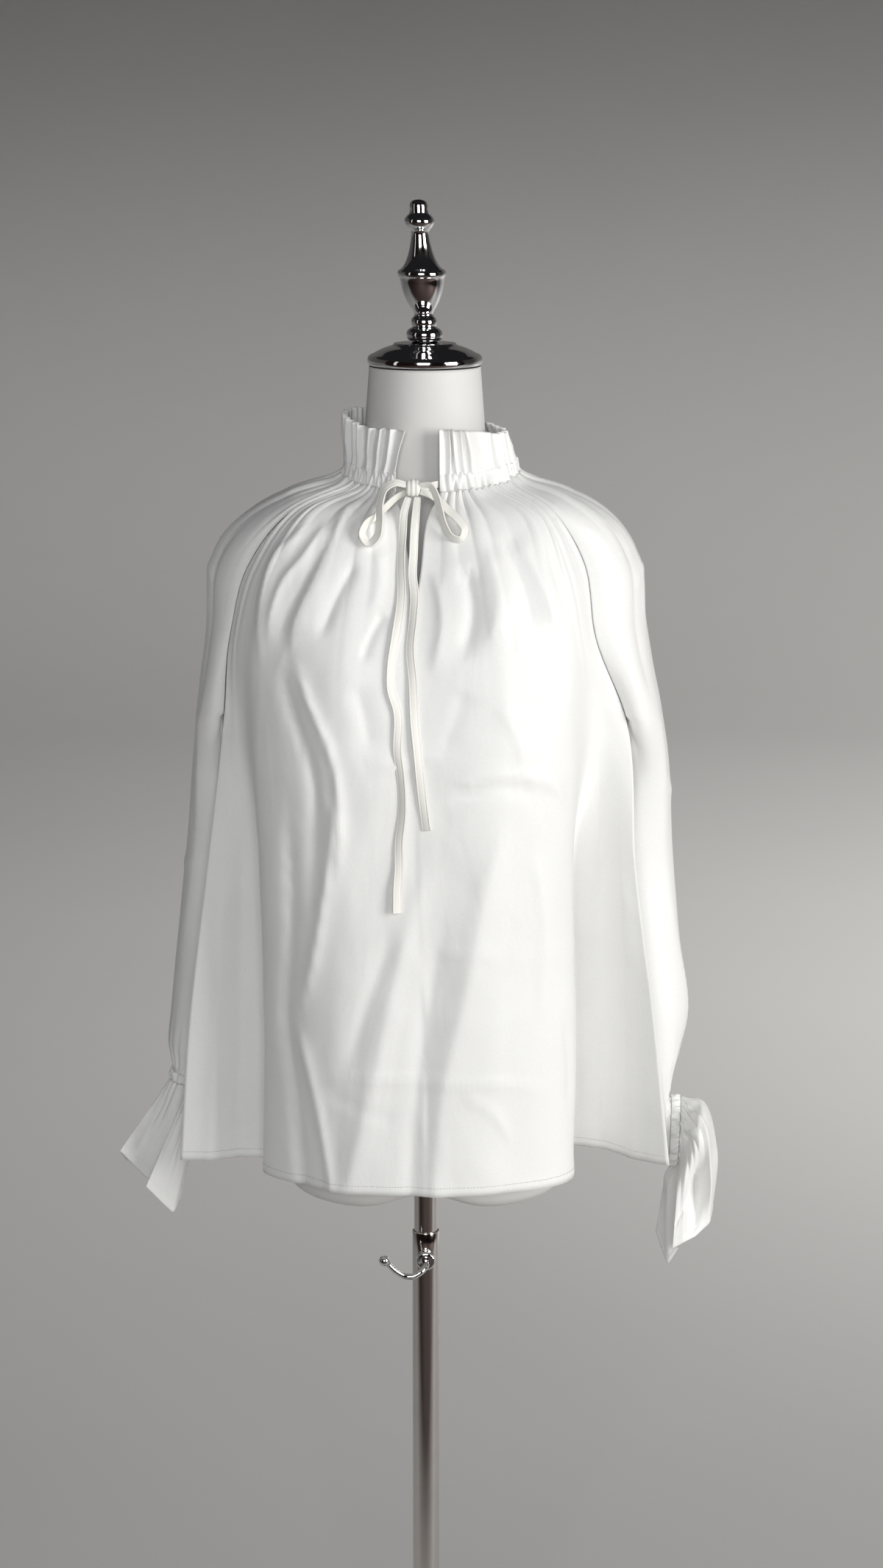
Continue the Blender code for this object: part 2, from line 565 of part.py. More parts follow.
def half_front(levels, ghost_levels, ring, ghost_ring, phase):
    """Half the front from the neck ring to the hem, as a grid from its seam to its centre."""
    top = CASING_BOTTOM - SEAM_GAP
    ribs = np.array([on_ring(ring, top)] + [np.array(level) for level in levels])
    ghost = np.array([on_ring([ghost_ring], top)[0]] + [level.middle for level in ghost_levels])
    ribs = np.concatenate([ribs, ghost[:, None]], axis=1)
    down = level_params(ribs[:, :-1])
    rows = smooth(ribs, down, divided(down, FRONT_ROWS))
    grid = across_ribs(rows, FRONT_COLUMNS)
    return gathered(clear_of_form(grid, FORM_CLEAR), phase)


def front_halves():
    """Both halves of the front, with one centre line below the neck slit."""
    share = np.cumsum((0,) + FRONT_COLUMNS) / sum(FRONT_COLUMNS)
    ring_left = SEAM_FRONT_LEFT + (FRONT_EDGE_LEFT - SEAM_FRONT_LEFT) * share
    ring_right = SEAM_FRONT_RIGHT + (FRONT_EDGE_RIGHT - SEAM_FRONT_RIGHT) * share
    left = half_front(FRONT_LEFT, FRONT_RIGHT, ring_left, ring_right[3], 0.2)
    right = half_front(FRONT_RIGHT, FRONT_LEFT, ring_right, ring_left[3], 0.6)
    slit_end = sum(FRONT_ROWS[:3])
    middle = (left[slit_end:, -1] + right[slit_end:, -1]) / 2
    left[slit_end:, -1] = right[slit_end:, -1] = middle
    return left, right


def add_front(halves):
    add_wall("front", [thinned(half, FRONT_KEPT) for half in halves],
             Vector((0.0, -1.0, 1.0)))


def half_back(side):
    """Half the back, as a grid from its seam to its centre."""
    top = CASING_BOTTOM - SEAM_GAP
    seam = SEAM_BACK_RIGHT if side > 0 else SEAM_BACK_LEFT
    ring = seam + (90 - seam) * np.cumsum((0,) + BACK_COLUMNS) / sum(BACK_COLUMNS)
    levels = np.array([np.array(level) for level in BACK]) * (side, 1, 1)
    ribs = np.concatenate([on_ring(ring, top)[None], levels])
    down = level_params(ribs)
    ghost = ribs[:, 2:3] * (-1, 1, 1)
    ghost[0] = on_ring([180 - ring[2]], top)
    ribs = np.concatenate([ribs, ghost], axis=1)
    rows = smooth(ribs, down, divided(down, FRONT_ROWS))
    grid = across_ribs(rows, BACK_COLUMNS)
    share = np.linspace(0, 1, grid.shape[1])
    fall = np.clip((1.15 - grid[..., 2]) / (1.15 - HEM_Z), 0, 1)
    wave = np.cos(math.pi * BACK_FOLDS * (1 - share)) * np.sin(math.pi * np.minimum(
        share * 1.4, 0.5)) ** 2
    grid[..., 1] += BACK_FOLD_DEPTH * fall * wave
    grid = clear_of_form(grid, FORM_CLEAR)
    return gathered(grid, 0.4)


def match_edge(grid, rows, column, target, reach):
    """Moves one edge of a grid onto a target line, and less and less of its next columns."""
    away = target - grid[rows, column]
    order = range(reach) if column == 0 else range(-1, -reach - 1, -1)
    for i, j in enumerate(order):
        grid[rows, j] += away * (1 - i / reach) ** 2


def add_back(fronts):
    """The back, whose edges meet the front's from the underarms down to the hem."""
    underarm = sum(FRONT_ROWS[:4])
    below = slice(underarm, None)
    halves = [half_back(-1), half_back(1)]
    for half, front in zip(halves, fronts):
        match_edge(half, below, 0, front[below, 0] + (0, SIDE_LAP, 0), 12)
    middle = (halves[0][:, -1] + halves[1][:, -1]) / 2
    halves[0][:, -1] = halves[1][:, -1] = middle
    add_wall("back", [thinned(half, BACK_KEPT) for half in halves], Vector((0.0, 1.0, 1.0)))
    return halves


def ring_points(ring, side, degrees, grow=0.0):
    """Points round a slanted oval, grown outwards by an amount for each point."""
    a, lift = np.radians(np.asarray(degrees, float)), math.radians(ring.lift)
    reach = (ring.wide + grow) * np.cos(a)
    return np.stack([side * (ring.out + reach * math.cos(lift)),
                     ring.back + (ring.deep + grow) * np.sin(a),
                     ring.z + reach * math.sin(lift)], axis=-1)


def over_arm(front, outer, back, share):
    """A row over the arm, from the front seam round an outermost point to the back seam."""
    front, outer, back = (np.array(p, float) for p in (front, outer, back))
    seam = front + (back - front) * share[:, None]
    rise = np.sin(math.pi * share)
    deep = np.where(share < 0.5, front[1], back[1]) - outer[1]
    row = seam + (outer - seam) * rise[:, None]
    row[:, 1] = outer[1] + deep * np.abs(np.cos(math.pi * share))
    return row


def add_sleeve(name, side, fronts, backs):
    """A raglan sleeve: a strip over the shoulder that closes into a tube at the underarm."""
    hand = 0 if side < 0 else 1
    front, back = fronts[hand], backs[hand]
    tops = (SHOULDER_LEFT, SHOULDER_RIGHT)[hand]
    rings = (ARM_LEFT, ARM_RIGHT)[hand]
    seams = ((SEAM_FRONT_LEFT, SEAM_BACK_LEFT), (SEAM_FRONT_RIGHT, SEAM_BACK_RIGHT + 360))[hand]
    levels = (FRONT_LEFT, FRONT_RIGHT)[hand]
    share = np.linspace(0, 1, SLEEVE_COLUMNS + 1)
    rows = [on_ring(seams[0] + (seams[1] - seams[0]) * share, CASING_BOTTOM - SEAM_GAP)]
    for level, top, behind in zip(levels, tops, BACK):
        rows.append(over_arm(level.seam, top, np.array(behind.seam) * (side, 1, 1), share))
    rings += (shifted(rings[-1], (CUFF_LEFT, CUFF_RIGHT)[hand][0], WRIST_LAND),)
    rows += [ring_points(r, side, ARM_START + 360 * share) for r in rings]
    rows = np.array(rows)
    down = level_params(rows)
    counts = FRONT_ROWS[:4] + ARM_ROWS[hand] + (1,)
    at = divided(down, counts)
    grid = smooth(rows, down, at)
    swell = np.clip((at - down[1]) / (down[2] - down[1]), 0, 1)
    swell = SHOULDER_ROUND * np.sin(math.pi * swell)[:, None] * np.sin(math.pi * share) ** 2
    grid[..., 0] += side * swell * 0.7
    grid[..., 2] += swell * 0.7
    grid = clear_of_form(grid, FORM_CLEAR)
    underarm = sum(FRONT_ROWS[:4])
    above = slice(0, underarm)
    for column, panel in ((0, front), (-1, back)):
        inward = grid[above, 1 if column == 0 else -2] - grid[above, column]
        inward /= np.linalg.norm(inward, axis=1, keepdims=True)
        match_edge(grid, above, column, panel[above, 0] + 2 * SEAM_GAP * inward, 16)
    grid = gathered(grid, 0.3)
    closing = (front[underarm, 0] + back[underarm, 0]) / 2 + (side * 0.0026, 0, -0.001)
    for column in (0, -1):
        match_edge(grid, slice(underarm, underarm + 1), column, closing, 16)
    middle = (grid[underarm:, 0] + grid[underarm:, -1]) / 2
    grid[underarm:, 0] = grid[underarm:, -1] = middle
    add_wall(name, [thinned(grid, SLEEVE_KEPT)], Vector((side * 1.0, 0.0, 1.0)))


def shifted(a, b, gap):
    """A ring moved from a towards b by a gap."""
    a_, b_ = np.array(a), np.array(b)
    far = np.linalg.norm((b_ - a_)[:3])
    return Ring(*(a_ + (b_ - a_) * gap / far))


def add_wrist(name, side, end, start):
    """The gathered casing between a sleeve's end and its cuff."""
    turns = np.linspace(0, 360, 3 * WRIST_RIPPLES, endpoint=False)
    ripple = WRIST_RIPPLE * np.sin(np.radians(WRIST_RIPPLES * turns))
    gap = WRIST_LAND + SEAM_GAP
    top, low = shifted(end, start, gap), shifted(start, end, gap)
    outer = [ring_points(r, side, turns, 0.0006 + ripple) for r in (top, low)]
    inner = [ring_points(r, side, turns, ripple - WRIST_THICK) for r in (low, top)]
    add_tube(name, np.stack(outer + inner, axis=1), cloth_material(), closed=True)


def add_cuff(name, side, rings, arm_end):
    """The flounce below a wrist, opening out into waves."""
    share = np.linspace(0, 1, 4 * CUFF_WAVES + 1)
    levels = np.array(rings)
    down = lengths(levels[:, :3])
    at = np.linspace(0, down[-1], CUFF_ROWS + 1)
    rows = [ring_points(shifted(rings[0], arm_end, WRIST_LAND), side, ARM_START + 360 * share)]
    for size, far in zip(smooth(levels, down, at), at / at[-1]):
        wave = CUFF_WAVE * far**0.8 * np.sin(2 * math.pi * CUFF_WAVES * share)
        rows.append(ring_points(Ring(*size), side, ARM_START + 360 * share, wave))
    add_wall(name, [np.array(rows)], Vector((side * 1.0, 0.0, 0.9)))


def add_casing():
    """The drawstring casing: a rippled band round the neck, open at the centre front."""
    turns = np.linspace(FRONT_EDGE_RIGHT, FRONT_EDGE_LEFT + 360, 3 * CASING_RIPPLES + 1)
    ripple = CASING_RIPPLE * np.sin(np.radians(CASING_RIPPLES * (turns - turns[0]) * 360
                                               / (turns[-1] - turns[0])))
    low, top = CASING_BOTTOM, CASING_TOP
    ring = [on_ring(turns, low, ripple), on_ring(turns, top, ripple),
            on_ring(turns, top, ripple - CASING_THICK), on_ring(turns, low, ripple - CASING_THICK)]
    add_tube("neck_casing", np.stack(ring, axis=1), cloth_material())


def add_frill():
    """The stand-up frill, pleated all round and open at the centre front.

    Its fold lines stand alternately out and in, and its top is uneven and leans to the neck.
    """
    turns = np.linspace(FRONT_EDGE_RIGHT, FRONT_EDGE_LEFT + 360, 2 * FRILL_PLEATS + 1)
    zigzag = np.where(np.arange(len(turns)) % 2, 1.0, -1.0)
    base = CASING_TOP + 2 * SEAM_GAP + NECK_RISE * (1 + np.sin(np.radians(turns))) / 2
    table = np.array(FRILL_TOP)
    top, swing, shift = smooth(table[:, 1:], table[:, 0], turns).T
    rows = []
    for far in (0.0, 0.45, 1.0):
        out = FRILL_DEPTH * (0.6 + 0.4 * far) * zigzag - 0.0022 - FRILL_LEAN * far
        row = on_ring(turns + swing * far, 0.0, out)
        row[:, 0] -= shift * far
        row[:, 2] = base + (top - base) * far
        rows.append(row)
    add_wall("collar_frill", [np.array(rows)], Vector((1.0, 0.0, 1.33)))


def hung_in_front(route, halves):
    """A route of left and up as points that hang from the knot and then lie on the front."""
    route = np.array(route)
    centre = halves[0][:, -1]
    order = np.argsort(centre[:, 2])
    lying = np.interp(route[:, 1], centre[order, 2], centre[order, 1]) - TAIL_OUT
    return np.stack([route[:, 0], np.minimum(lying, KNOT[1]), route[:, 1]], axis=1)


def add_tie(halves):
    """The bow: a knot, two loops, two hanging ends, and the cord's two runs into the casing."""
    x, y, z = KNOT
    profile = [(KNOT_HALF_WIDTH * r, z + KNOT_HALF_HEIGHT * h) for r, h in (
        (0, -1.0), (0.63, -0.96), (0.92, -0.63), (1.0, 0.0), (0.92, 0.63), (0.63, 0.96), (0, 1.0))]
    add_turned("tie_knot", profile, cloth_material(), 12, (x, y))
    add_ribbon("tie_loop_left", LOOP_LEFT, 28, (0.45, 0.45))
    add_ribbon("tie_loop_right", LOOP_RIGHT, 28, (0.45, 0.45))
    add_ribbon("tie_run_left", RUN_LEFT, 6, (0.7, 0.45), np.array([0.0, 0.0, 1.0]))
    add_ribbon("tie_run_right", RUN_RIGHT, 6, (0.7, 0.45), np.array([0.0, 0.0, 1.0]))
    for name, route in (("tie_tail_left", TAIL_LEFT), ("tie_tail_right", TAIL_RIGHT)):
        add_ribbon(name, hung_in_front(route, halves), 25, (0.6, 1.0), np.array([1.0, 0, 0]))


# ---------------------------------------------------------------- the stand
def add_form():
    """The dress form: sections up to the neck, closed below by two shallow lobes."""
    a = np.linspace(0, 2 * math.pi, FORM_SIDES, endpoint=False)
    foot = FORM[0].z
    rings = []
    for scale in (0.14, 0.35, 0.6, 0.8, 0.93):
        ring = form_ring(foot, a, scale)
        drop = math.sqrt(1 - scale**4)
        dip = np.exp(-((ring[:, 0] / LOBE_APART) ** 2))
        ring[:, 2] = foot - drop * (LOBE_DEPTH - LOBE_NOTCH * dip)
        if not rings:
            ring[:, 2] = FORM_BOTTOM
        rings.append(ring)
    rings += [form_ring(level.z, a) for level in FORM]
    add_tube("dress_form", rings, finish_material("form_cover", (0.60, 0.585, 0.56), 0.6))


def add_stand():
    """The cap, finial, telescoping pole, its lock and the round base."""
    chrome = chrome_material()
    add_turned("neck_cap", NECK_CAP, chrome, 20)
    finial = add_turned("finial", FINIAL, chrome, 12)
    finial.data.transform(Matrix(((1, 0, -FINIAL_LEAN, FINIAL_LEAN * FINIAL[0][1]),
                                  (0, 1, 0, 0), (0, 0, 1, 0), (0, 0, 0, 1))))
    add_turned("pole_upper", ((0, UPPER_BOTTOM), (UPPER_RADIUS, UPPER_BOTTOM),
                              (UPPER_RADIUS, FORM_BOTTOM - SEAM_GAP),
                              (0, FORM_BOTTOM - SEAM_GAP)), chrome)
    low = BASE_HEIGHT + SEAM_GAP
    add_turned("pole_lower", ((0, low), (LOWER_RADIUS, low), (LOWER_RADIUS, LOWER_TOP),
                              (LOWER_BORE, LOWER_TOP), (LOWER_BORE, BORE_BOTTOM),
                              (0, BORE_BOTTOM)), chrome)
    add_turned("stand_base", BASE, chrome, 28)
    add_rod("lock_boss", ((0, -LOWER_RADIUS - SEAM_GAP, LOCK_Z), (0, BOSS_END, LOCK_Z)),
            BOSS_RADIUS, chrome, 2, 16)
    add_rod("lock_lever", LEVER, LEVER_RADIUS, chrome, 13, 8)
    x, y, z = LEVER[-1]
    toward = np.array(LEVER[-1]) - np.array(LEVER[-2])
    x, y, z = np.array(LEVER[-1]) + toward / np.linalg.norm(toward) * (KNOB_RADIUS + SEAM_GAP)
    ball = [(KNOB_RADIUS * math.sin(t), z - KNOB_RADIUS * math.cos(t))
            for t in np.linspace(0, math.pi, 9)]
    ball[0], ball[-1] = (0, ball[0][1]), (0, ball[-1][1])
    add_turned("lever_knob", ball, chrome, 10, (x, y))


def main():
    clear_scene()
    fronts = front_halves()
    add_front(fronts)
    backs = add_back(fronts)
    add_sleeve("sleeve_left", -1, fronts, backs)
    add_sleeve("sleeve_right", 1, fronts, backs)
    add_casing()
    add_frill()
    for name, side, arm, cuff in (("left", -1, ARM_LEFT, CUFF_LEFT),
                                  ("right", 1, ARM_RIGHT, CUFF_RIGHT)):
        add_wrist("wrist_casing_" + name, side, arm[-1], cuff[0])
        add_cuff("cuff_frill_" + name, side, cuff, arm[-1])
    add_tie(fronts)
    add_form()
    add_stand()


main()
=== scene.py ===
"""Dresses the blouse, its form and its stand for a soft studio view.

Metres, +Z up, +X to the wearer's left, front towards -Y. The floor is z = 0 and the pole's axis
is x = y = 0. Every piece is a surface worked out on a grid and laid over the solid that it stands
for.
"""

import logging
import math
from dataclasses import dataclass
from enum import Enum
from typing import NamedTuple, Optional, Sequence

import bpy
import numpy as np
from mathutils import Euler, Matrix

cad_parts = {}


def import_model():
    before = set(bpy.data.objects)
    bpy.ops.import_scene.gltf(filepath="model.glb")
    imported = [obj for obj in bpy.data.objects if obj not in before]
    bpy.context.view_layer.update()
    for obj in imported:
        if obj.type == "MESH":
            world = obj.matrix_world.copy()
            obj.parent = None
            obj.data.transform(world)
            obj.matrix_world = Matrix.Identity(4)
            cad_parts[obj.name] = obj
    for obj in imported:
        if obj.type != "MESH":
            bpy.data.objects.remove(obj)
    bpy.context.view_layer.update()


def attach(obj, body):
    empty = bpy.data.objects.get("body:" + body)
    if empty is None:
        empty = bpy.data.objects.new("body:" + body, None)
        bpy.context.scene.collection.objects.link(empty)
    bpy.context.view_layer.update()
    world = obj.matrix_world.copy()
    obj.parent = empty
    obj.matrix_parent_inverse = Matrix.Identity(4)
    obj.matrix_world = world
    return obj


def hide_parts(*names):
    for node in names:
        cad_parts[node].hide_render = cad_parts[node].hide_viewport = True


LOG = logging.getLogger("blouse")
Array = np.ndarray
Thing = bpy.types.Object
Socket = bpy.types.NodeSocket
Material = bpy.types.Material

# ---------------------------------------------------------------- sizes shared by the pieces
CLOTH = 0.0009  # shown wall of the panels and sleeves
CAD_CLOTH = 0.0012
SEAM_GAP = 0.0003
FORM_CLEAR = CAD_CLOTH + 0.0009
SIDE_LAP = 2 * CAD_CLOTH + 3 * SEAM_GAP  # front's outer face to the back's at the side seams
NECK_X, NECK_Y = 0.005, 0.002
NECK_HALF_WIDTH, NECK_HALF_DEPTH = 0.0765, 0.0665
NECK_RISE = 0.014  # the neck ring is this much higher at the back
CASING_BOTTOM, CASING_TOP = 1.291, 1.308
NECK_LINE = CASING_BOTTOM - SEAM_GAP  # where the panels and the sleeves begin
FRONT_EDGES = (246.0, 276.0)  # degrees round the neck ring, front is 270
FRONT_SEAMS, BACK_SEAMS = (207.0, 333.0), (152.0, 28.0)
HEM_Z = 0.667
HEM_FOLD = 0.0095  # width of the turned-up hem
STITCH_IN = 0.0012  # from the fold's inner edge to the hem's stitches
SEAM_ROLL, SEAM_WIDE = 0.0003, 0.0018
LEVEL_ROWS = (3, 2, 2, 2, 2, 2, 2)  # relative number of rows between a panel's levels
BODY_LEVELS = 4  # levels above the underarm, which a sleeve shares with the panels
SLIT_LEVELS = 3  # levels down to the end of the front's slit

# Gathers: those round the neck are counted from the front's right edge round the back
GATHER_DEPTH = 0.0036
GATHER_POWER = 0.85  # of the sine that shapes a gather; lower is rounder
FINE_GATHER_DEPTH, FINE_GATHER_REACH = 0.0008, (0.008, 0.03)
TRUMPET = 0.0022  # by which cloth stands up where it meets the neck casing
TRUMPET_LONG = 0.008
FRONT_GATHERS, BACK_GATHERS = (54, 12), (45, 21)  # that lie before each side's seams
SLEEVE_GATHERS = 9
GATHER_RIBS = 4  # of a panel's rib units in one gather
GATHERS_ROUND_NECK = ((276, 0), (333, 12), (388, 21), (450, 33), (512, 45), (567, 54), (606, 66))
WRIST_GATHERS = 16
WRIST_DEPTH = 0.0029  # of a gather at a wrist
WRIST_LAND = 0.0018
ARM_START = -145.0  # degrees round a sleeve where its seam runs, 0 outwards, 90 back
ARM_GIRTH = 0.24  # metres round an arm that a sleeve's crease lines are drawn over


class Side(Enum):
    """One side of the garment, as seen from the front."""

    LEFT = -1
    RIGHT = 1

    @property
    def index(self) -> int:
        """0 for the left and 1 for the right, as the tables are ordered."""
        return 0 if self is Side.LEFT else 1

    @property
    def word(self) -> str:
        """The side's name in the names of the pieces."""
        return self.name.lower()


class Ring(NamedTuple):
    """A slanted oval round a sleeve: its centre out from the pole, back and up, its two half
    sizes, and how many degrees its outer end is lifted."""

    out: float
    back: float
    z: float
    wide: float
    deep: float
    lift: float


class Crease(NamedTuple):
    """A soft ridge, or a trough where its height is negative, along a line drawn on a panel.

    low and high are its half-widths on its two sides: towards smaller across, or below it where
    it runs level, and the other. start and end are the shares of its length over which it fades.
    """

    line: Array
    height: float
    low: float
    high: float
    start: float
    end: float


def tenths(*values: object) -> Array:
    """Tenths of a millimetre as metres."""
    return np.array(values) / 10000


def creases(*rows: Sequence[int]) -> tuple:
    """Creases from rows of numbers.

    Args:
        rows: each a crease's height, low and high in tenths of a millimetre, its start and end in
            hundredths, and then its line's points in tenths of a millimetre.

    Returns:
        One Crease for each row.
    """
    return tuple(Crease(tenths(*row[5:]).reshape(-1, 2), *tenths(*row[:3]), row[3] / 100,
                        row[4] / 100) for row in rows)


# The dress form's levels: height, half-width, reach forward, reach back, squareness
FORM = np.array([
    (0.66, 0.129, 0.096, 0.106, 2.8), (0.69, 0.131, 0.1005, 0.111, 2.8),
    (0.74, 0.133, 0.105, 0.115, 2.7), (0.8, 0.13, 0.102, 0.108, 2.5),
    (0.86, 0.122, 0.096, 0.092, 2.3), (0.92, 0.118, 0.092, 0.078, 2.2),
    (1.0, 0.134, 0.108, 0.082, 2.1), (1.06, 0.15, 0.125, 0.088, 2.0),
    (1.12, 0.167, 0.117, 0.092, 2.0), (1.17, 0.182, 0.101, 0.092, 2.0),
    (1.2, 0.186, 0.09, 0.089, 2.0), (1.222, 0.1845, 0.0825, 0.086, 2.0),
    (1.24, 0.178, 0.075, 0.0815, 2.0), (1.256, 0.162, 0.068, 0.076, 2.0),
    (1.27, 0.134, 0.062, 0.07, 2.0), (1.282, 0.092, 0.056, 0.063, 2.0),
    (1.293, 0.064, 0.053, 0.0585, 2.0), (1.312, 0.056, 0.0515, 0.055, 2.0),
    (1.35, 0.053, 0.051, 0.053, 2.0), (1.397, 0.0495, 0.0495, 0.0495, 2.0),
])
# Half the front, left and then right, at seven levels: the seam, the crease behind the side fold,
# the fold's edge, the middle and the centre, each as x, y, z in tenths of a millimetre
FRONTS = tenths(
    (-1180, -560, 12735, -1090, -670, 12750, -970, -740, 12765, -600, -840, 12700, -195, -850,
     12708),
    (-1560, -580, 12258, -1430, -770, 12258, -1270, -900, 12256, -730, -1060, 12250, -130,
     -1030, 12240),
    (-1720, -540, 11670, -1590, -760, 11700, -1375, -990, 11734, -830, -1230, 11680, -139,
     -1220, 11690),
    (-1800, -400, 10890, -1600, -600, 10890, -1459, -950, 10900, -870, -1330, 10850, -100,
     -1360, 10850),
    (-1970, -360, 9500, -1430, -340, 9500, -1445, -850, 9500, -860, -1280, 9500, -50, -1330,
     9500),
    (-2165, -300, 8000, -1395, -240, 8000, -1435, -710, 8000, -830, -1200, 8000, 0, -1290, 8000),
    (-2270, -240, 6670, -1370, -180, 6670, -1472, -590, 6670, -800, -1110, 6670, 0, -1240, 6670),
    (1100, -560, 12760, 1010, -670, 12750, 890, -740, 12750, 450, -850, 12700, 20, -840, 12708),
    (1400, -620, 12300, 1250, -820, 12270, 1060, -950, 12250, 560, -1070, 12250, -40, -1030,
     12240),
    (1500, -660, 11670, 1370, -850, 11690, 1190, -1030, 11734, 650, -1250, 11680, -139, -1220,
     11690),
    (1800, -400, 10850, 1490, -540, 10870, 1270, -1040, 10900, 700, -1340, 10850, -100, -1360,
     10850),
    (1900, -400, 9500, 1330, -80, 9500, 1280, -900, 9500, 700, -1310, 9500, -50, -1330, 9500),
    (2095, -400, 8000, 1370, 120, 8000, 1325, -810, 8000, 690, -1250, 8000, 0, -1290, 8000),
    (2240, -400, 6670, 1340, 200, 6670, 1320, -750, 6670, 680, -1180, 6670, 0, -1240, 6670),
).reshape(2, 7, 5, 3)
FRONT_RIBS = (12, 10, 12, 14)  # relative width of the strips between a front level's points
# Half the back at seven levels, out from the centre: seam, tuck, side and centre
BACK = tenths(
    (1080, 580, 12760, 920, 660, 12770, 560, 730, 12770, 0, 780, 12760),
    (1460, 680, 12280, 1200, 800, 12270, 700, 910, 12260, 0, 970, 12250),
    (1720, 500, 11670, 1400, 780, 11670, 800, 990, 11670, 0, 1040, 11670),
    (1800, -400, 10870, 1660, 460, 10850, 900, 1030, 10850, 0, 1080, 10850),
    (1935, -380, 9500, 1370, 330, 9500, 980, 1120, 9500, 0, 1160, 9500),
    (2130, -350, 8000, 1470, 420, 8000, 1060, 1270, 8000, 0, 1300, 8000),
    (2255, -320, 6670, 1500, 500, 6670, 1120, 1380, 6670, 0, 1420, 6670),
).reshape(7, 4, 3)
BACK_RIBS = (16, 16, 16)
# The frill's top: degrees round the neck, height, degrees that it swings, metres that it leans
FRILL_TOP = np.array([
    (276, 1.347, 0.0, 0.0), (300, 1.345, 0.0, 0.0015), (333, 1.3405, 0.0, 0.005),
    (360, 1.34, 0.0, 0.007), (405, 1.344, 0.0, 0.006), (450, 1.352, 0.0, 0.0045),
    (495, 1.357, 0.0, 0.004), (540, 1.356, 0.0, 0.0035), (567, 1.35, 0.0, 0.002),
    (590, 1.347, 2.5, 0.0005), (606, 1.3465, 7.0, 0.0),
])
# The frill's fold lines beside its free edges, in degrees round the neck
FRILL_RIGHT_FOLDS = (276.0, 279.8, 282.3, 284.1, 286.1, 288.4, 291.0, 293.0, 295.5, 308.0,
                     318.0, 326.5, 330.5)
FRILL_LEFT_FOLDS = (565.5, 568.5, 572.7, 576.0, 584.6, 586.4, 591.3, 592.9, 598.1, 599.8, 606.0)
# The rings of each sleeve from the underarm down, and the ring that its flounce starts at
ARMS = (
    (Ring(0.192, 0.012, 1.087, 0.0155, 0.047, 0),
     Ring(0.1942, 0.024, 1.04, 0.0182, 0.042, 0),
     Ring(0.1857, 0.04, 0.95, 0.0357, 0.038, 0),
     Ring(0.1936, 0.042, 0.86, 0.0376, 0.038, 0),
     Ring(0.2017, 0.042, 0.8, 0.0357, 0.036, 0),
     Ring(0.212, 0.036, 0.762, 0.028, 0.03, 6),
     Ring(0.2205, 0.032, 0.738, 0.0168, 0.0195, 12)),
    (Ring(0.1967, 0.012, 1.085, 0.0182, 0.047, 0),
     Ring(0.1999, 0.024, 1.04, 0.0224, 0.042, 0),
     Ring(0.1907, 0.04, 0.95, 0.0387, 0.038, 0),
     Ring(0.198, 0.042, 0.86, 0.038, 0.038, 0),
     Ring(0.2065, 0.04, 0.79, 0.0376, 0.036, 8),
     Ring(0.208, 0.032, 0.74, 0.035, 0.028, 35),
     Ring(0.2185, 0.024, 0.697, 0.032, 0.018, 72),
     Ring(0.2262, 0.021, 0.6815, 0.033, 0.0135, 88)),
)
ARM_ROWS = ((1, 2, 2, 2, 1, 1), (1, 2, 2, 2, 2, 1, 1))  # relative number between the rings
WRISTS = (Ring(0.2226, 0.0320, 0.7250, 0.0170, 0.0195, 12),
          Ring(0.2390, 0.0210, 0.6815, 0.0325, 0.0130, 88))
# The outermost points of each sleeve at the first three levels
SHOULDERS = tenths(
    (-1277, -40, 12835, -1885, 0, 12310, -1955, 40, 11700),
    (1320, -40, 12850, 1890, 0, 12320, 1985, 40, 11700),
).reshape(2, 3, 3)
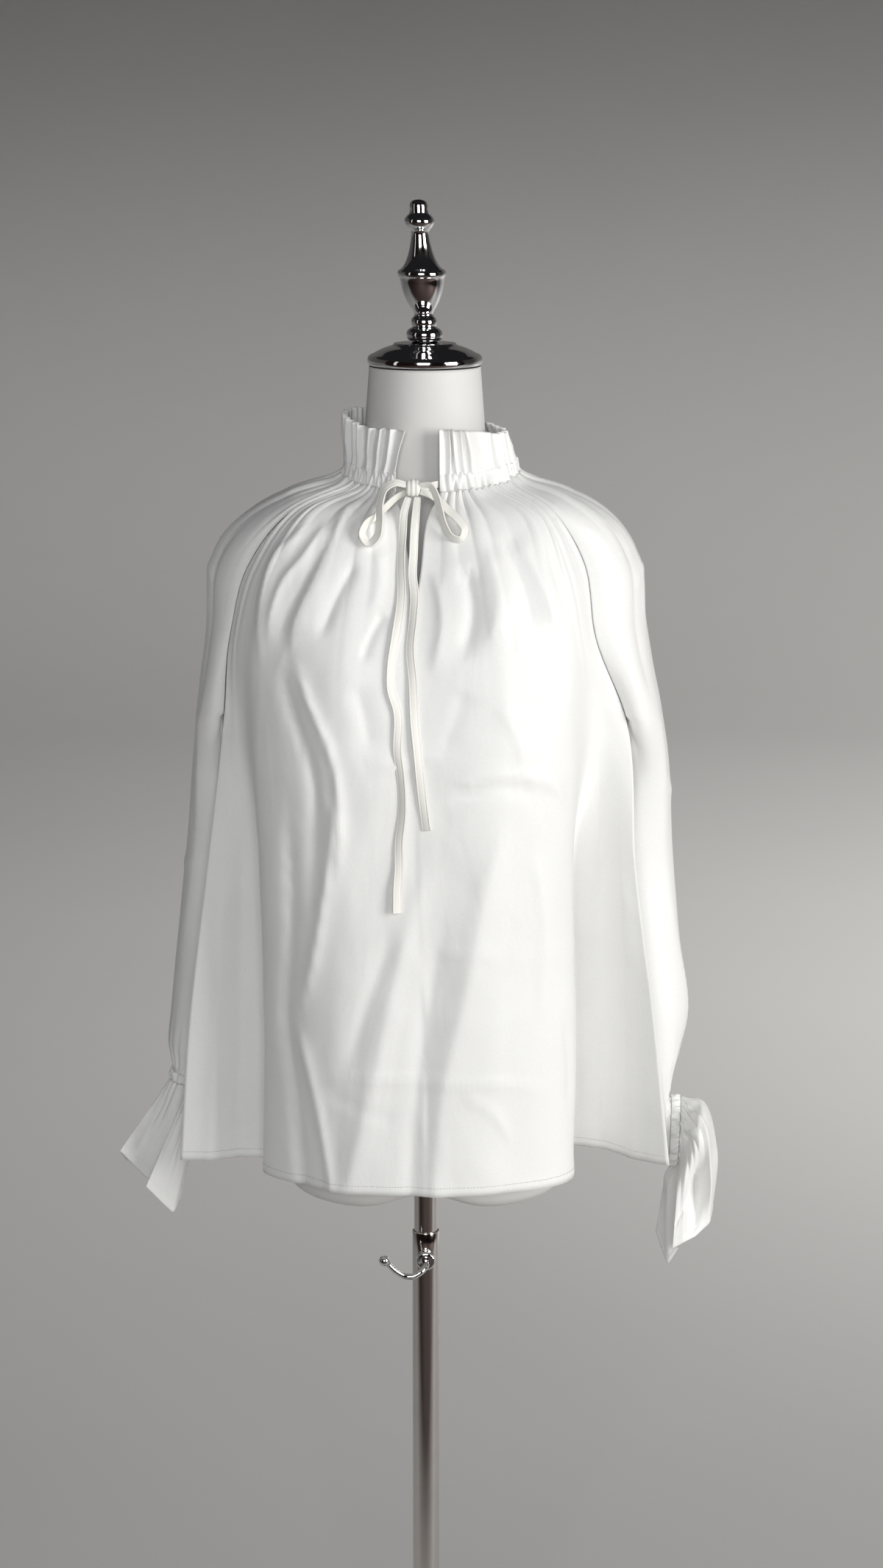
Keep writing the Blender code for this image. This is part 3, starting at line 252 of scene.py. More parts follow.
# Creases on the panels, by x and z, and on the sleeves, by metres round from the outermost point
# and z
FRONT_CREASES = creases(
    (42, 60, 140, 20, 30, -639, 12866, -736, 12674, -843, 12475, -951, 12247, -1066, 12010,
     -1137, 11803, -1150, 11500),
    (-28, 60, 60, 20, 30, -711, 12728, -882, 12426, -1054, 12139, -1230, 11794, -1275, 11552),
    (32, 60, 60, 20, 30, -780, 12740, -926, 12576, -1056, 12396, -1217, 12204, -1330, 11888,
     -1354, 11569),
    (30, 60, 70, 20, 30, -957, 12770, -1090, 12593, -1304, 12381, -1390, 12118, -1436, 11777,
     -1440, 11397),
    (-32, 80, 60, 20, 30, -574, 12407, -789, 12021, -923, 11685),
    (-26, 60, 50, 20, 30, -337, 11971, -495, 11666, -546, 11485),
    (18, 100, 80, 20, 30, -410, 12500, -400, 12200, -480, 11850),
    (-48, 80, 70, 15, 50, -1262, 11500, -1166, 11082, -1044, 10745, -968, 10425, -973, 9900,
     -1010, 9000),
    (38, 80, 50, 20, 30, -1137, 11589, -1027, 11231, -893, 10921, -791, 10655, -748, 10389,
     -739, 9919, -800, 9400),
    (38, 90, 60, 20, 30, -755, 10500, -866, 9534, -1020, 8663, -1153, 8208),
    (36, 80, 60, 20, 0, -1153, 8250, -1030, 7792, -930, 7300, -832, 6700),
    (-42, 70, 100, 20, 0, -1206, 10330, -1202, 9065, -1256, 8183, -1180, 7500, -1120, 6700),
    (38, 200, 130, 20, 0, 83, 9883, -163, 9132, -327, 8410, -535, 7420, -705, 6700),
    (-24, 120, 100, 20, 30, -250, 9200, -560, 8300, -740, 7700),
    (40, 220, 140, 20, 0, 762, 10289, 565, 9637, 367, 8585, 160, 7646, 81, 6700),
    (-26, 140, 120, 30, 0, 200, 9500, 60, 8600, -80, 7600, -130, 6700),
    (-44, 130, 100, 20, 30, 332, 12365, 408, 11988, 312, 11487),
    (26, 110, 160, 20, 30, 520, 12500, 640, 12150, 560, 11600),
    (30, 100, 90, 20, 30, 767, 12600, 1010, 12150, 1171, 11684),
    (-22, 90, 80, 20, 30, 640, 12600, 860, 12150, 960, 11700),
    (24, 90, 80, 20, 30, 80, 12300, 150, 11900, 60, 11350),
    (24, 30, 80, 20, 30, 173, 10386, 447, 10465, 690, 10497, 1047, 10428, 1247, 10265),
    (-26, 60, 30, 20, 30, 173, 10340, 447, 10415, 690, 10440, 1000, 10385),
    (16, 30, 30, 20, 30, 1000, 10480, 1130, 10400, 1230, 10180),
    (16, 30, 80, 20, 30, -510, 10569, -108, 10638, 211, 10692),
    (22, 90, 30, 20, 30, -1031, 7707, -500, 7780, 82, 7754, 700, 7720, 1239, 7575),
    (16, 60, 30, 20, 30, 82, 8938, 400, 8925, 730, 8906),
    (-12, 60, 60, 20, 30, -900, 7600, -500, 7450, -200, 7350),
    (14, 60, 50, 20, 30, 300, 7640, 620, 7420, 780, 7100),
    (-20, 40, 40, 20, 30, 1232, 8271, 1277, 7908, 1276, 7299),
    (22, 120, 100, 20, 30, 950, 9900, 1060, 9100, 1020, 8200),
    (-16, 100, 140, 20, 30, 350, 11300, 250, 11000, 120, 10700),
    (12, 100, 120, 20, 30, 620, 11200, 800, 10850, 880, 10500),
    (-24, 100, 120, 20, 30, -620, 11350, -520, 11050, -480, 10700),
    (-34, 100, 120, 30, 0, 1570, 10600, 1560, 9500, 1620, 8000, 1650, 6700),
    (34, 80, 110, 30, 0, 1740, 10000, 1830, 8500, 1920, 6700),
    (-34, 100, 120, 30, 0, -1630, 10400, -1680, 9000, -1730, 6700),
    (30, 100, 100, 30, 0, -1820, 9600, -1920, 8000, -2010, 6700),
)
BACK_CREASES = creases(
    (34, 80, 100, 20, 30, -600, 12750, -860, 12300, -1040, 11700, -1080, 10900),
    (-26, 80, 80, 20, 30, -400, 12750, -560, 12200, -660, 11500),
    (34, 100, 80, 20, 30, 560, 12750, 800, 12250, 980, 11600, 1020, 10800),
    (-26, 80, 80, 20, 30, 300, 12750, 420, 12200, 480, 11500),
    (20, 90, 90, 20, 30, 20, 12750, -40, 12100, 20, 11300),
    (18, 90, 60, 20, 30, -900, 10900, -500, 10700, 100, 10680),
    (18, 90, 60, 20, 30, 200, 10450, 600, 10560, 1000, 10800),
    (30, 130, 100, 30, 0, -300, 10200, -450, 9000, -500, 7700, -540, 6700),
    (30, 100, 140, 30, 0, 500, 10000, 580, 8800, 720, 7700, 760, 6700),
    (-30, 120, 120, 30, 0, 60, 9600, 120, 8500, 180, 7600, 180, 6700),
    (-30, 100, 100, 30, 0, -960, 9600, -1010, 8500, -1060, 6700),
    (12, 80, 40, 20, 30, -900, 7860, -200, 7800, 700, 7900),
    (10, 70, 40, 20, 30, -500, 9100, 100, 9050, 600, 9120),
)
SLEEVE_CREASES = (creases(
    (-30, 80, 80, 20, 30, -500, 12700, -440, 12250, -500, 11500, -560, 10700),
    (18, 80, 80, 20, 30, -240, 12780, -200, 12300, -260, 11400),
    (-28, 100, 100, 20, 30, 260, 12780, 300, 12300, 240, 11500),
    (34, 120, 100, 20, 30, -640, 11400, -600, 10400, -520, 9200, -440, 8200),
    (-30, 120, 120, 20, 30, 0, 11300, -60, 10000, 20, 8800, 60, 7900),
    (34, 120, 120, 20, 30, 560, 11200, 520, 9800, 440, 8500),
    (-24, 120, 100, 20, 30, -1050, 10300, -1000, 9300, -880, 8200),
    (-24, 120, 100, 20, 30, 1000, 10400, 980, 9200, 900, 8100),
    (16, 60, 40, 20, 30, -500, 12050, -150, 12200, 200, 12100),
    (14, 70, 50, 20, 30, -700, 9500, -300, 9380, 100, 9460),
), creases(
    (-30, 80, 80, 20, 30, -500, 12700, -480, 12250, -560, 11600, -640, 10900),
    (18, 80, 80, 20, 30, -240, 12780, -200, 12300, -280, 11500),
    (-28, 100, 100, 20, 30, 260, 12780, 300, 12300, 240, 11500),
    (36, 120, 100, 20, 30, -500, 11300, -560, 10300, -500, 9200, -300, 8000, -200, 7300),
    (-30, 120, 120, 20, 30, -100, 10700, -180, 9500, -60, 8400, 60, 7500),
    (34, 120, 120, 20, 30, 560, 11200, 520, 9800, 440, 8500),
    (-24, 120, 100, 20, 30, -1050, 10300, -1000, 9300, -880, 8200),
    (-24, 120, 100, 20, 30, 1000, 10400, 980, 9200, 900, 8100),
    (16, 60, 50, 20, 30, -600, 10300, -200, 10000, 200, 9700),
    (16, 60, 40, 20, 30, -500, 12050, -150, 12200, 200, 12100),
))
# Degrees round the wrist of a flounce's corners, and its rows of corners: out, back and up
LEFT_TURNS = (-145, -93, -84, 0, 25, 100, 150, 185, 200, 215)
LEFT_CORNERS = tenths(
    (2464, 120, 6120, 2625, 20, 6335, 2559, 360, 6219, 2872, 160, 6635, 2838, 420, 6447, 2624,
     620, 6175, 2289, 580, 6291, 2309, 350, 6128, 2374, 180, 6005, 2464, 120, 6120),
).reshape(1, 10, 3)
RIGHT_TURNS = (-145, -118, -60, -22, 5, 60, 120, 160, 188, 203, 215)
RIGHT_CORNERS = tenths(
    (2341, -60, 6449, 2403, -120, 6598, 2482, -200, 6811, 2570, -160, 7018, 2583, 120, 7144,
     2560, 420, 6977, 2444, 460, 6565, 2272, 340, 6386, 2305, 300, 6305, 2389, 220, 6354, 2341,
     -60, 6449),
    (2317, -160, 6196, 2406, -150, 6250, 2517, 80, 6322, 2648, -140, 6548, 2726, 100, 6683,
     2666, 450, 6568, 2454, 550, 6316, 2242, 480, 6156, 2281, 400, 6001, 2406, 320, 6116, 2317,
     -160, 6196),
    (2284, -220, 5799, 2395, -200, 5850, 2515, -140, 5893, 2660, -20, 5981, 2697, 120, 6076,
     2647, 450, 6042, 2430, 600, 5857, 2183, 550, 5712, 2296, 400, 5412, 2416, 360, 5633, 2284,
     -220, 5799),
).reshape(3, 11, 3)
# Creases on the flounces, by metres round from the outermost point and metres down
LEFT_CUFF_CREASES = creases(
    (-16, 40, 80, 20, 30, -200, 100, -180, 400, -160, 850),
    (-18, 40, 80, 20, 30, -760, 120, -820, 400, -900, 850),
)
RIGHT_CUFF_CREASES = creases(
    (30, 60, 60, 20, 30, -420, 80, -330, 260, -260, 440),
    (-30, 40, 50, 20, 30, -560, 60, -440, 200, -300, 320),
    (-30, 40, 50, 20, 30, -220, 60, -120, 180, -20, 260),
    (22, 40, 40, 20, 30, -100, 300, -250, 400, -330, 520),
    (-14, 30, 40, 20, 30, -900, 740, -720, 680, -560, 700),
)
# The tie's routes, as on its solids; a tail's are across and up
TIE_WIDTH, TIE_THICK = 0.0080, 0.0016
KNOT = (-0.0100, -0.0870, 1.2985)
TAIL_OUT = 0.0024 / 2 + 0.0011
TAIL_LEFT = tenths(
    -140, 12912, -178, 12780, -190, 12620, -204, 12385, -203, 12060, -255, 11720, -290, 11500,
    -290, 11290, -238, 11120, -233, 10726, -209, 10560, -196, 10195, -224, 9955, -226, 9706,
    -239, 9520, -241, 9314
).reshape(-1, 2)
TAIL_RIGHT = tenths(
    -62, 12912, -74, 12780, -88, 12620, -96, 12440, -105, 12260, -88, 12086, -100, 11884, -124,
    11630, -102, 11378, -86, 10991, -59, 10725, -17, 10326, 17, 10058
).reshape(-1, 2)
LOOP_LEFT = tenths(
    -160, -905, 13020, -260, -930, 13040, -345, -950, 12990, -382, -965, 12885, -389, -985,
    12704, -415, -1005, 12576, -479, -1010, 12524, -540, -995, 12601, -505, -965, 12690, -425,
    -915, 12745, -330, -880, 12830, -247, -860, 12905, -165, -850, 12950
).reshape(-1, 3)
LOOP_RIGHT = tenths(
    -40, -905, 13020, 50, -925, 13015, 100, -940, 12930, 130, -960, 12820, 170, -980, 12679,
    237, -995, 12577, 315, -995, 12560, 345, -975, 12640, 290, -945, 12725, 205, -905, 12800,
    125, -870, 12880, 45, -855, 12930, -35, -850, 12955
).reshape(-1, 3)
RUN_LEFT = tenths(
    -242, -582, 12995, -215, -660, 12993, -175, -760, 12990, -143, -819, 12988
).reshape(-1, 3)
RUN_RIGHT = tenths(
    115, -630, 12995, 90, -690, 12993, 30, -770, 12990, -57, -819, 12988
).reshape(-1, 3)
# The stand's profiles, as radius and height, and the lever's route
NECK_CAP = tenths(
    0, 13973, 490, 13973, 512, 13995, 515, 14030, 500, 14065, 455, 14085, 380, 14125, 300,
    14150, 280, 14160, 275, 14180, 0, 14180
).reshape(-1, 2)
FINIAL = tenths(
    0, 14183, 115, 14183, 155, 14205, 165, 14248, 150, 14290, 100, 14315, 112, 14330, 116,
    14360, 108, 14390, 83, 14410, 84, 14440, 125, 14500, 165, 14580, 190, 14670, 200, 14745,
    213, 14760, 217, 14785, 208, 14812, 170, 14830, 130, 14900, 100, 14990, 82, 15080, 77,
    15150, 105, 15175, 132, 15215, 132, 15255, 105, 15290, 82, 15305, 82, 15380, 66, 15410, 35,
    15424, 0, 15428
).reshape(-1, 2)
BASE = tenths(
    0, 0, 1370, 0, 1400, 20, 1400, 80, 1360, 110, 1100, 150, 700, 200, 350, 270, 190, 340, 165,
    400, 0, 400
).reshape(-1, 2)
LEVER = tenths(
    0, -225, 5668, 0, -330, 5668, -40, -385, 5635, -106, -400, 5597, -188, -405, 5597, -280,
    -420, 5655, -345, -430, 5722
).reshape(-1, 3)
FINIAL_LEAN = 0.045
BASE_HEIGHT = 0.040
LOCK_Z = 0.5668


# ---------------------------------------------------------------- curves and surfaces
def smooth(knots: Array, params: Array, at: Array) -> Array:
    """Values on the smooth curve through knots: a cubic between each two, with shared slopes.

    Args:
        knots: the values, one row for each param.
        params: where the knots stand, rising.
        at: where the curve is read.

    Returns:
        One row of values for each place in at.
    """
    k, t = np.asarray(knots, float), np.asarray(params, float)
    at = np.clip(at, t[0], t[-1])
    pad = (slice(None),) + (None,) * (k.ndim - 1)
    step = np.diff(t)[pad]
    slope = np.diff(k, axis=0) / step
    inner = (slope[:-1] * step[1:] + slope[1:] * step[:-1]) / (step[:-1] + step[1:])
    tangent = np.concatenate([slope[:1], inner, slope[-1:]])
    i = np.clip(np.searchsorted(t, at, side="right") - 1, 0, len(t) - 2)
    h = step[i]
    w = ((at - t[i])[pad]) / h
    return (k[i] * (1 + 2 * w) * (1 - w) ** 2 + tangent[i] * h * w * (1 - w) ** 2
            + k[i + 1] * w**2 * (3 - 2 * w) + tangent[i + 1] * h * w**2 * (w - 1))


def lengths(points: Array) -> Array:
    """Distance along a row of points, from its first."""
    steps = np.linalg.norm(np.diff(np.asarray(points, float), axis=0), axis=1)
    return np.concatenate([[0.0], np.cumsum(steps)])


def row_distances(rows: Array) -> Array:
    """Mean distance of each row of points below the first, added up row by row."""
    steps = np.linalg.norm(np.diff(rows, axis=0), axis=2).mean(1)
    return np.concatenate([[0.0], np.cumsum(steps)])


def divided(params: Array, counts: Sequence[int]) -> Array:
    """Params again, with counts[i] even steps between params i and i + 1."""
    runs = [np.linspace(a, b, n, endpoint=False) for a, b, n in zip(params, params[1:], counts)]
    return np.concatenate(runs + [[params[-1]]])


def ramp(value: Array, low: float, high: float) -> Array:
    """0 below low, 1 above high, and a smooth step between."""
    t = np.clip((np.asarray(value, float) - low) / (high - low), 0, 1)
    return t * t * (3 - 2 * t)


def bell(value: Array, wide: float, power: float = 2) -> Array:
    """1 at value 0, falling away on both sides: exp(-(value / wide)^power)."""
    return np.exp(-((value / wide) ** power))


def full_turn(count: int) -> Array:
    """Even angles once round, without the last."""
    return np.linspace(0, 2 * math.pi, count, endpoint=False)


def unit(vectors: Array) -> Array:
    """Vectors scaled to length 1."""
    return vectors / np.linalg.norm(vectors, axis=-1, keepdims=True)


def squared_off(wave: Array, power: float) -> Array:
    """A wave between -1 and 1 with its size raised to a power, which flattens its tops."""
    return np.sign(wave) * np.abs(wave) ** power


def on_ring(degrees: Array, z: float, out: Array = 0.0) -> Array:
    """Points round the neck's ellipse.

    Args:
        degrees: places round it.
        z: the height that its front has.
        out: how far the points are moved outwards.

    Returns:
        One point for each place.
    """
    a = np.radians(np.asarray(degrees, float))
    return np.stack([NECK_X + (NECK_HALF_WIDTH + out) * np.cos(a),
                     NECK_Y + (NECK_HALF_DEPTH + out) * np.sin(a),
                     z + NECK_RISE * (1 + np.sin(a)) / 2 + 0 * a], axis=-1)


def form_sizes(z: Array) -> Array:
    """The dress form's half-width, front, back and squareness at each height."""
    return smooth(FORM[:, 1:], FORM[:, 0], z).T


def form_ring(z: Array, angles: Array, scale: Array) -> Array:
    """Points round the dress form: a superellipse at each height, its outline scaled.

    Args:
        z: one height for each ring.
        angles: angles round a ring.
        scale: one scale for each ring.

    Returns:
        Points as rings, angles, coordinates.
    """
    half, front, back, square = (v[:, None] for v in form_sizes(z))
    c, s = np.cos(angles)[None], np.sin(angles)[None]
    size = scale[:, None] * (np.abs(c) ** square + np.abs(s) ** square) ** (-1 / square)
    deep = np.where(s < 0, front, back)
    return np.stack([half * size * c, deep * size * s, z[:, None] + 0 * c], axis=-1)


def clear_of_form(points: Array, clear: float) -> Array:
    """Points moved out from the dress form, up its slope, until each is clear of its surface.

    Args:
        points: points of any shape, with x, y, z last.
        clear: the least distance.

    Returns:
        The moved points.
    """
    step, farthest = 1e-4, 0.01
    p = points.reshape(-1, 3).copy()

    def field(q: Array) -> Array:
        """1 on the form's surface, more outside it."""
        half, front, back, square = form_sizes(q[:, 2])
        deep = np.where(q[:, 1] < 0, front, back)
        total = np.abs(q[:, 0] / half) ** square + np.abs(q[:, 1] / deep) ** square
        return total ** (1 / square)

    for _ in range(6):
        value = field(p)
        slope = np.stack([(field(p + step * e) - value) / step for e in np.eye(3)], axis=1)
        size = np.linalg.norm(slope, axis=1)
        move = np.clip(clear - (value - 1) / size, 0, farthest)
        p += (move / size)[:, None] * slope
    return p.reshape(points.shape)


def normals_of(grid: Array) -> Array:
    """Unit normals of a grid of points, from its rows and columns."""
    n = np.cross(np.gradient(grid, axis=1), np.gradient(grid, axis=0))
    return n / np.maximum(np.linalg.norm(n, axis=2, keepdims=True), 1e-12)


def outward_normals(grid: Array, away: Sequence[float]) -> Array:
    """Unit normals of a grid on the side that the direction away points to."""
    n = normals_of(grid)
    return n if (n.mean(axis=(0, 1)) * away).sum() > 0 else -n


def along_columns(grid: Array) -> Array:
    """Distance down each column of a grid, from its first row."""
    steps = np.linalg.norm(np.diff(grid, axis=0), axis=2)
    return np.concatenate([np.zeros((1, grid.shape[1])), np.cumsum(steps, axis=0)])


def along_rows(grid: Array) -> Array:
    """Distance along each row of a grid, from its first column."""
    return along_columns(grid.transpose(1, 0, 2)).T


def cloth_uv(grid: Array) -> Array:
    """Places on the cloth for a grid's points: metres along its rows and down its columns."""
    return np.stack([along_rows(grid), -along_columns(grid)], axis=-1)


def outer(first: Array, second: Array) -> Array:
    """Every pair of two rows of numbers, as a grid of pairs."""
    return np.stack(np.meshgrid(first, second, indexing="ij"), axis=-1)


def crease_relief(places: Array, lines: Sequence[Crease], strength: float = 1.0,
                  sharp: float = 1.0) -> Array:
    """Relief of creases: each adds its height times exp(-(d / w)^1.5), faded at its ends.

    d is the distance to the crease's smooth line, and w its half-width on that side.

    Args:
        places: points of a flat view, with two coordinates last.
        lines: the creases drawn in the same view.
        strength: multiplies their heights.
        sharp: multiplies their widths on the low side.

    Returns:
        Heights, shaped as places without its last axis.
    """
    flat = places.reshape(-1, 2)
    every = np.arange(len(flat))
    share = np.linspace(0, 1, 48)
    relief = np.zeros(len(flat))
    for crease in lines:
        at = lengths(crease.line)
        line = smooth(crease.line, at, share * at[-1])
        gaps = np.hypot(flat[:, None, 0] - line[:, 0], flat[:, None, 1] - line[:, 1])
        near = gaps.argmin(axis=1)
        ahead, offset = np.gradient(line, axis=0)[near], flat - line[near]
        side = ahead[:, 0] * offset[:, 1] - ahead[:, 1] * offset[:, 0]
        wide = np.where(side < 0, crease.low * sharp, crease.high)
        fade = np.ones(len(share))
        if crease.start:
            fade *= ramp(share, 0, crease.start)
        if crease.end:
            fade *= ramp(1 - share, 0, crease.end)
        relief += strength * crease.height * fade[near] * bell(gaps[every, near], wide, 1.5)
    return relief.reshape(places.shape[:-1])


def rumple_relief(places: Array, seed: int, depth: float) -> Array:
    """Faint rumples: a sum of soft-edged ridged waves whose coordinates are bent by slow waves.

    Args:
        places: points of a flat view in metres, with two coordinates last.
        seed: chooses the waves.
        depth: about the highest rumple.

    Returns:
        Heights, shaped as places without its last axis.
    """
    draw = np.random.default_rng(seed)
    x, y = places[..., 0], places[..., 1]
    bend = 0.02 * np.sin(23 * x + 9 * y + seed) + 0.02 * np.sin(31 * y - 11 * x + 2 * seed)
    relief = np.zeros(x.shape)
    for _ in range(11):
        angle = draw.normal(0.25, 0.55)
        wave = draw.uniform(0.05, 0.13)
        turn = 2 * math.pi * ((x + bend) * math.cos(angle) + (y + bend) * math.sin(angle)) / wave
        ridge = 1 - np.sqrt(np.sin(turn / 2 + draw.uniform(0, 6)) ** 2 + 0.006)
        where = 0.5 + 0.5 * np.sin(17 * x + draw.uniform(0, 6)) * np.sin(
            13 * y + draw.uniform(0, 6))
        relief += draw.uniform(0.3, 1.0) * ridge * where
    return depth * relief / 4


def gather_ridge(place: Array) -> Array:
    """How far gathers stand out, at places counted in gathers: round ridges of unlike heights."""
    size = 0.65 + 0.7 * np.modf(np.floor(place) * 0.414)[0]
    return size * np.abs(np.sin(math.pi * place)) ** GATHER_POWER


def wrist_ridge(degrees: Array, hand: int) -> Array:
    """The gathers round a wrist, of slightly unlike widths.

    Args:
        degrees: places round the wrist.
        hand: 0 or 1, which shifts the uneven widths.

    Returns:
        0 in a valley and 1 on a ridge.
    """
    share = (np.asarray(degrees, float) - ARM_START) / 360
    count = WRIST_GATHERS * share + 0.3 * np.sin(6 * math.pi * share + hand)
    return np.abs(np.sin(math.pi * count)) ** GATHER_POWER


def gather_relief(grid: Array, place: Array, depth: float, reach: tuple) -> Array:
    """Gathers below a casing: round ridges between narrow valleys, each dying away over its own
    length.

    Args:
        grid: the panel's points, its first row at the casing.
        place: how many gathers round the neck lie before each column.
        depth: height of a gather.
        reach: shortest and longest length over which a gather dies away.

    Returns:
        One height for each point.
    """
    down = lengths(grid.mean(axis=1))[:, None]
    share = np.modf(np.floor(place) * 0.618)[0]
    long = reach[0] + (reach[1] - reach[0]) * share**2
    return depth * gather_ridge(place) * bell(down, long, 1.2)


def neck_gathers(grid: Array, place: Array, reach: tuple) -> tuple:
    """The bold gathers below the neck casing, and the fine ones between them.

    Args:
        grid: the panel's points, its first row at the casing.
        place: how many gathers round the neck lie before each column.
        reach: shortest and longest length of a bold gather.

    Returns:
        The heights of each kind.
    """
    return (gather_relief(grid, place, GATHER_DEPTH, reach),
            gather_relief(grid, 2 * place, FINE_GATHER_DEPTH, FINE_GATHER_REACH))


def seam_roll(distance: Array) -> Array:
    """How far cloth rolls in beside a seam."""
    return SEAM_ROLL * bell(distance, SEAM_WIDE)


def trumpet(drop: Array) -> Array:
    """How far cloth stands up towards the neck casing, by its distance below it."""
    return TRUMPET * bell(drop, TRUMPET_LONG)


def match_edge(grid: Array, rows: slice, column: int, target: Array, reach: int) -> None:
    """Moves one edge of a grid onto a target line, and less and less of its next columns.

    Args:
        grid: the grid of points that is changed.
        rows: which of its rows.
        column: 0 for its first edge, -1 for its last.
        target: the line, a point for each row.
        reach: how many columns move.
    """
    away = target - grid[rows, column]
    order = range(reach) if column == 0 else range(-1, -reach - 1, -1)
    for i, j in enumerate(order):
        grid[rows, j] += away * (1 - i / reach) ** 2


# ---------------------------------------------------------------- meshes
def quads(index: Array) -> Array:
    """Quads between the neighbours of one or more grids of vertex numbers."""
    around = (index[..., :-1, :-1], index[..., 1:, :-1], index[..., 1:, 1:], index[..., :-1, 1:])
    return np.stack(around, axis=-1).reshape(-1, 4)


def numbered(grid: Array, wrap: bool = False, first: int = 0) -> Array:
    """Vertex numbers of a grid of points; wrap repeats the first column after the last."""
    index = first + np.arange(grid.shape[0] * grid.shape[1]).reshape(grid.shape[:2])
    return np.concatenate([index, index[:, :1]], axis=1) if wrap else index


def used_only(points: Array, uv: Array, *grids: Array) -> tuple:
    """Leaves out the points that no face uses.

    Args:
        points: all points.
        uv: their places on the cloth.
        grids: grids of vertex numbers.

    Returns:
        The points and places in use, and then each grid with its new numbers.
    """
    used = np.unique(np.concatenate([grid.ravel() for grid in grids]))
    renumber = np.zeros(len(points), np.int64)
    renumber[used] = np.arange(len(used))
    return points[used], uv[used], *(renumber[grid] for grid in grids)


def make_piece(name: str, points: Array, faces: list, uv: Optional[Array] = None) -> Thing:
    """An object from points and faces, smooth all over.

    Args:
        name: the piece's name.
        points: its vertices.
        faces: vertex numbers of each face.
        uv: one texture place for each vertex, in metres along the cloth.

    Returns:
        The new object.
    """
    mesh = bpy.data.meshes.new(name)
    mesh.from_pydata(np.asarray(points, float).reshape(-1, 3), [], faces)
    if uv is not None:
        layer = mesh.uv_layers.new(name="cloth")
        corner = np.empty(len(mesh.loops), np.int64)
        mesh.loops.foreach_get("vertex_index", corner)
        layer.data.foreach_set("uv", np.asarray(uv, float).reshape(-1, 2)[corner].ravel())
    mesh.shade_smooth()
    mesh.update()
    thing = bpy.data.objects.new(name, mesh)
    bpy.context.scene.collection.objects.link(thing)
    return thing


def face_towards(thing: Thing, spot: Sequence[float]) -> None:
    """Flips a piece's faces if the one nearest to spot looks away from it.

    Args:
        thing: the piece.
        spot: a place outside it.
    """
    mesh = thing.data
    count = len(mesh.polygons)
    centre, normal = np.empty(3 * count), np.empty(3 * count)
    mesh.polygons.foreach_get("center", centre)
    mesh.polygons.foreach_get("normal", normal)
    away = np.asarray(spot, float) - centre.reshape(-1, 3)
    near = np.linalg.norm(away, axis=1).argmin()
    if (away[near] * normal.reshape(-1, 3)[near]).sum() < 0:
        mesh.flip_normals()


def add_wall(thing: Thing, spot: Sequence[float], thickness: float) -> None:
    """Gives a sheet its thickness, inwards from the side that spot lies on.

    Args:
        thing: the sheet's object, whose mesh is replaced.
        spot: a place outside it.
        thickness: the wall.
    """
    face_towards(thing, spot)
    wall = thing.modifiers.new("wall", "SOLIDIFY")
    wall.thickness, wall.offset, wall.use_rim = thickness, -1.0, True
    wall.use_even_offset = False
    bpy.context.view_layer.update()
    solid = bpy.data.meshes.new_from_object(
        thing.evaluated_get(bpy.context.evaluated_depsgraph_get()))
    thing.modifiers.clear()
    old, thing.data = thing.data, solid
    bpy.data.meshes.remove(old)
    solid.name = thing.name


def tube_piece(name: str, rings: Array, uv: Optional[Array] = None) -> Thing:
    """A closed solid from rings of points, its two ends shut with fans.

    Args:
        name: the piece's name.
        rings: points as rings, places round a ring, coordinates.
        uv: one texture place for each point.

    Returns:
        The new object, its faces outwards.
    """
    count, sides = rings.shape[:2]
    faces = quads(numbered(rings, wrap=True)).tolist()
    for row, centre, turn in ((0, count * sides, 1), (count - 1, count * sides + 1, -1)):
        ring = row * sides + np.arange(sides)
        fan = np.stack([np.full(sides, centre), np.roll(ring, -1), ring][::turn], axis=1)
        faces += fan.tolist()
    points = np.concatenate([rings.reshape(-1, 3), [rings[0].mean(0), rings[-1].mean(0)]])
    if uv is not None:
        uv = np.concatenate([uv.reshape(-1, 2), [uv[0].mean(0), uv[-1].mean(0)]])
    made = make_piece(name, points, faces, uv)
    middle = rings.mean(1)
    turning = np.cross(rings[:, 1] - middle, np.gradient(middle, axis=0))
    if np.einsum("ij,ij->i", rings[:, 0] - middle, turning).sum() < 0:
        made.data.flip_normals()
    return made


def rounded(profile: Array, rounds: int = 3) -> Array:
    """A profile with its corners cut again and again, which leaves a smooth curve inside it.

    Args:
        profile: its points.
        rounds: how often each corner is replaced by the quarter points beside it.

    Returns:
        The points of the curve.
    """
    line = np.array(profile, float)
    for _ in range(rounds):
        a, b = line[:-1], line[1:]
        cut = np.stack([0.75 * a + 0.25 * b, 0.25 * a + 0.75 * b], axis=1).reshape(-1, 2)
        line = np.concatenate([line[:1], cut[1:-1], line[-1:]])
    return line


def turned_piece(name: str, profile: Array, sides: int, rounds: int = 3,
                 lean: float = 0.0) -> Thing:
    """A closed solid turned about the pole's axis: (r cos a, r sin a, z) along the profile.

    Args:
        name: the piece's name.
        profile: radius and height, from the axis at the bottom to the axis at the top.
        sides: how many faces lie round it.
        rounds: how often its corners are cut.
        lean: how far it leans to the left for each metre up.

    Returns:
        The new object.
    """
    line = rounded(profile, rounds)[1:-1]
    turn = full_turn(sides)
    shift = lean * (line[:, 1:] - profile[0][1])
    return tube_piece(name, np.stack([line[:, :1] * np.cos(turn) - shift,
                                      line[:, :1] * np.sin(turn), line[:, 1:] + 0 * turn], -1))


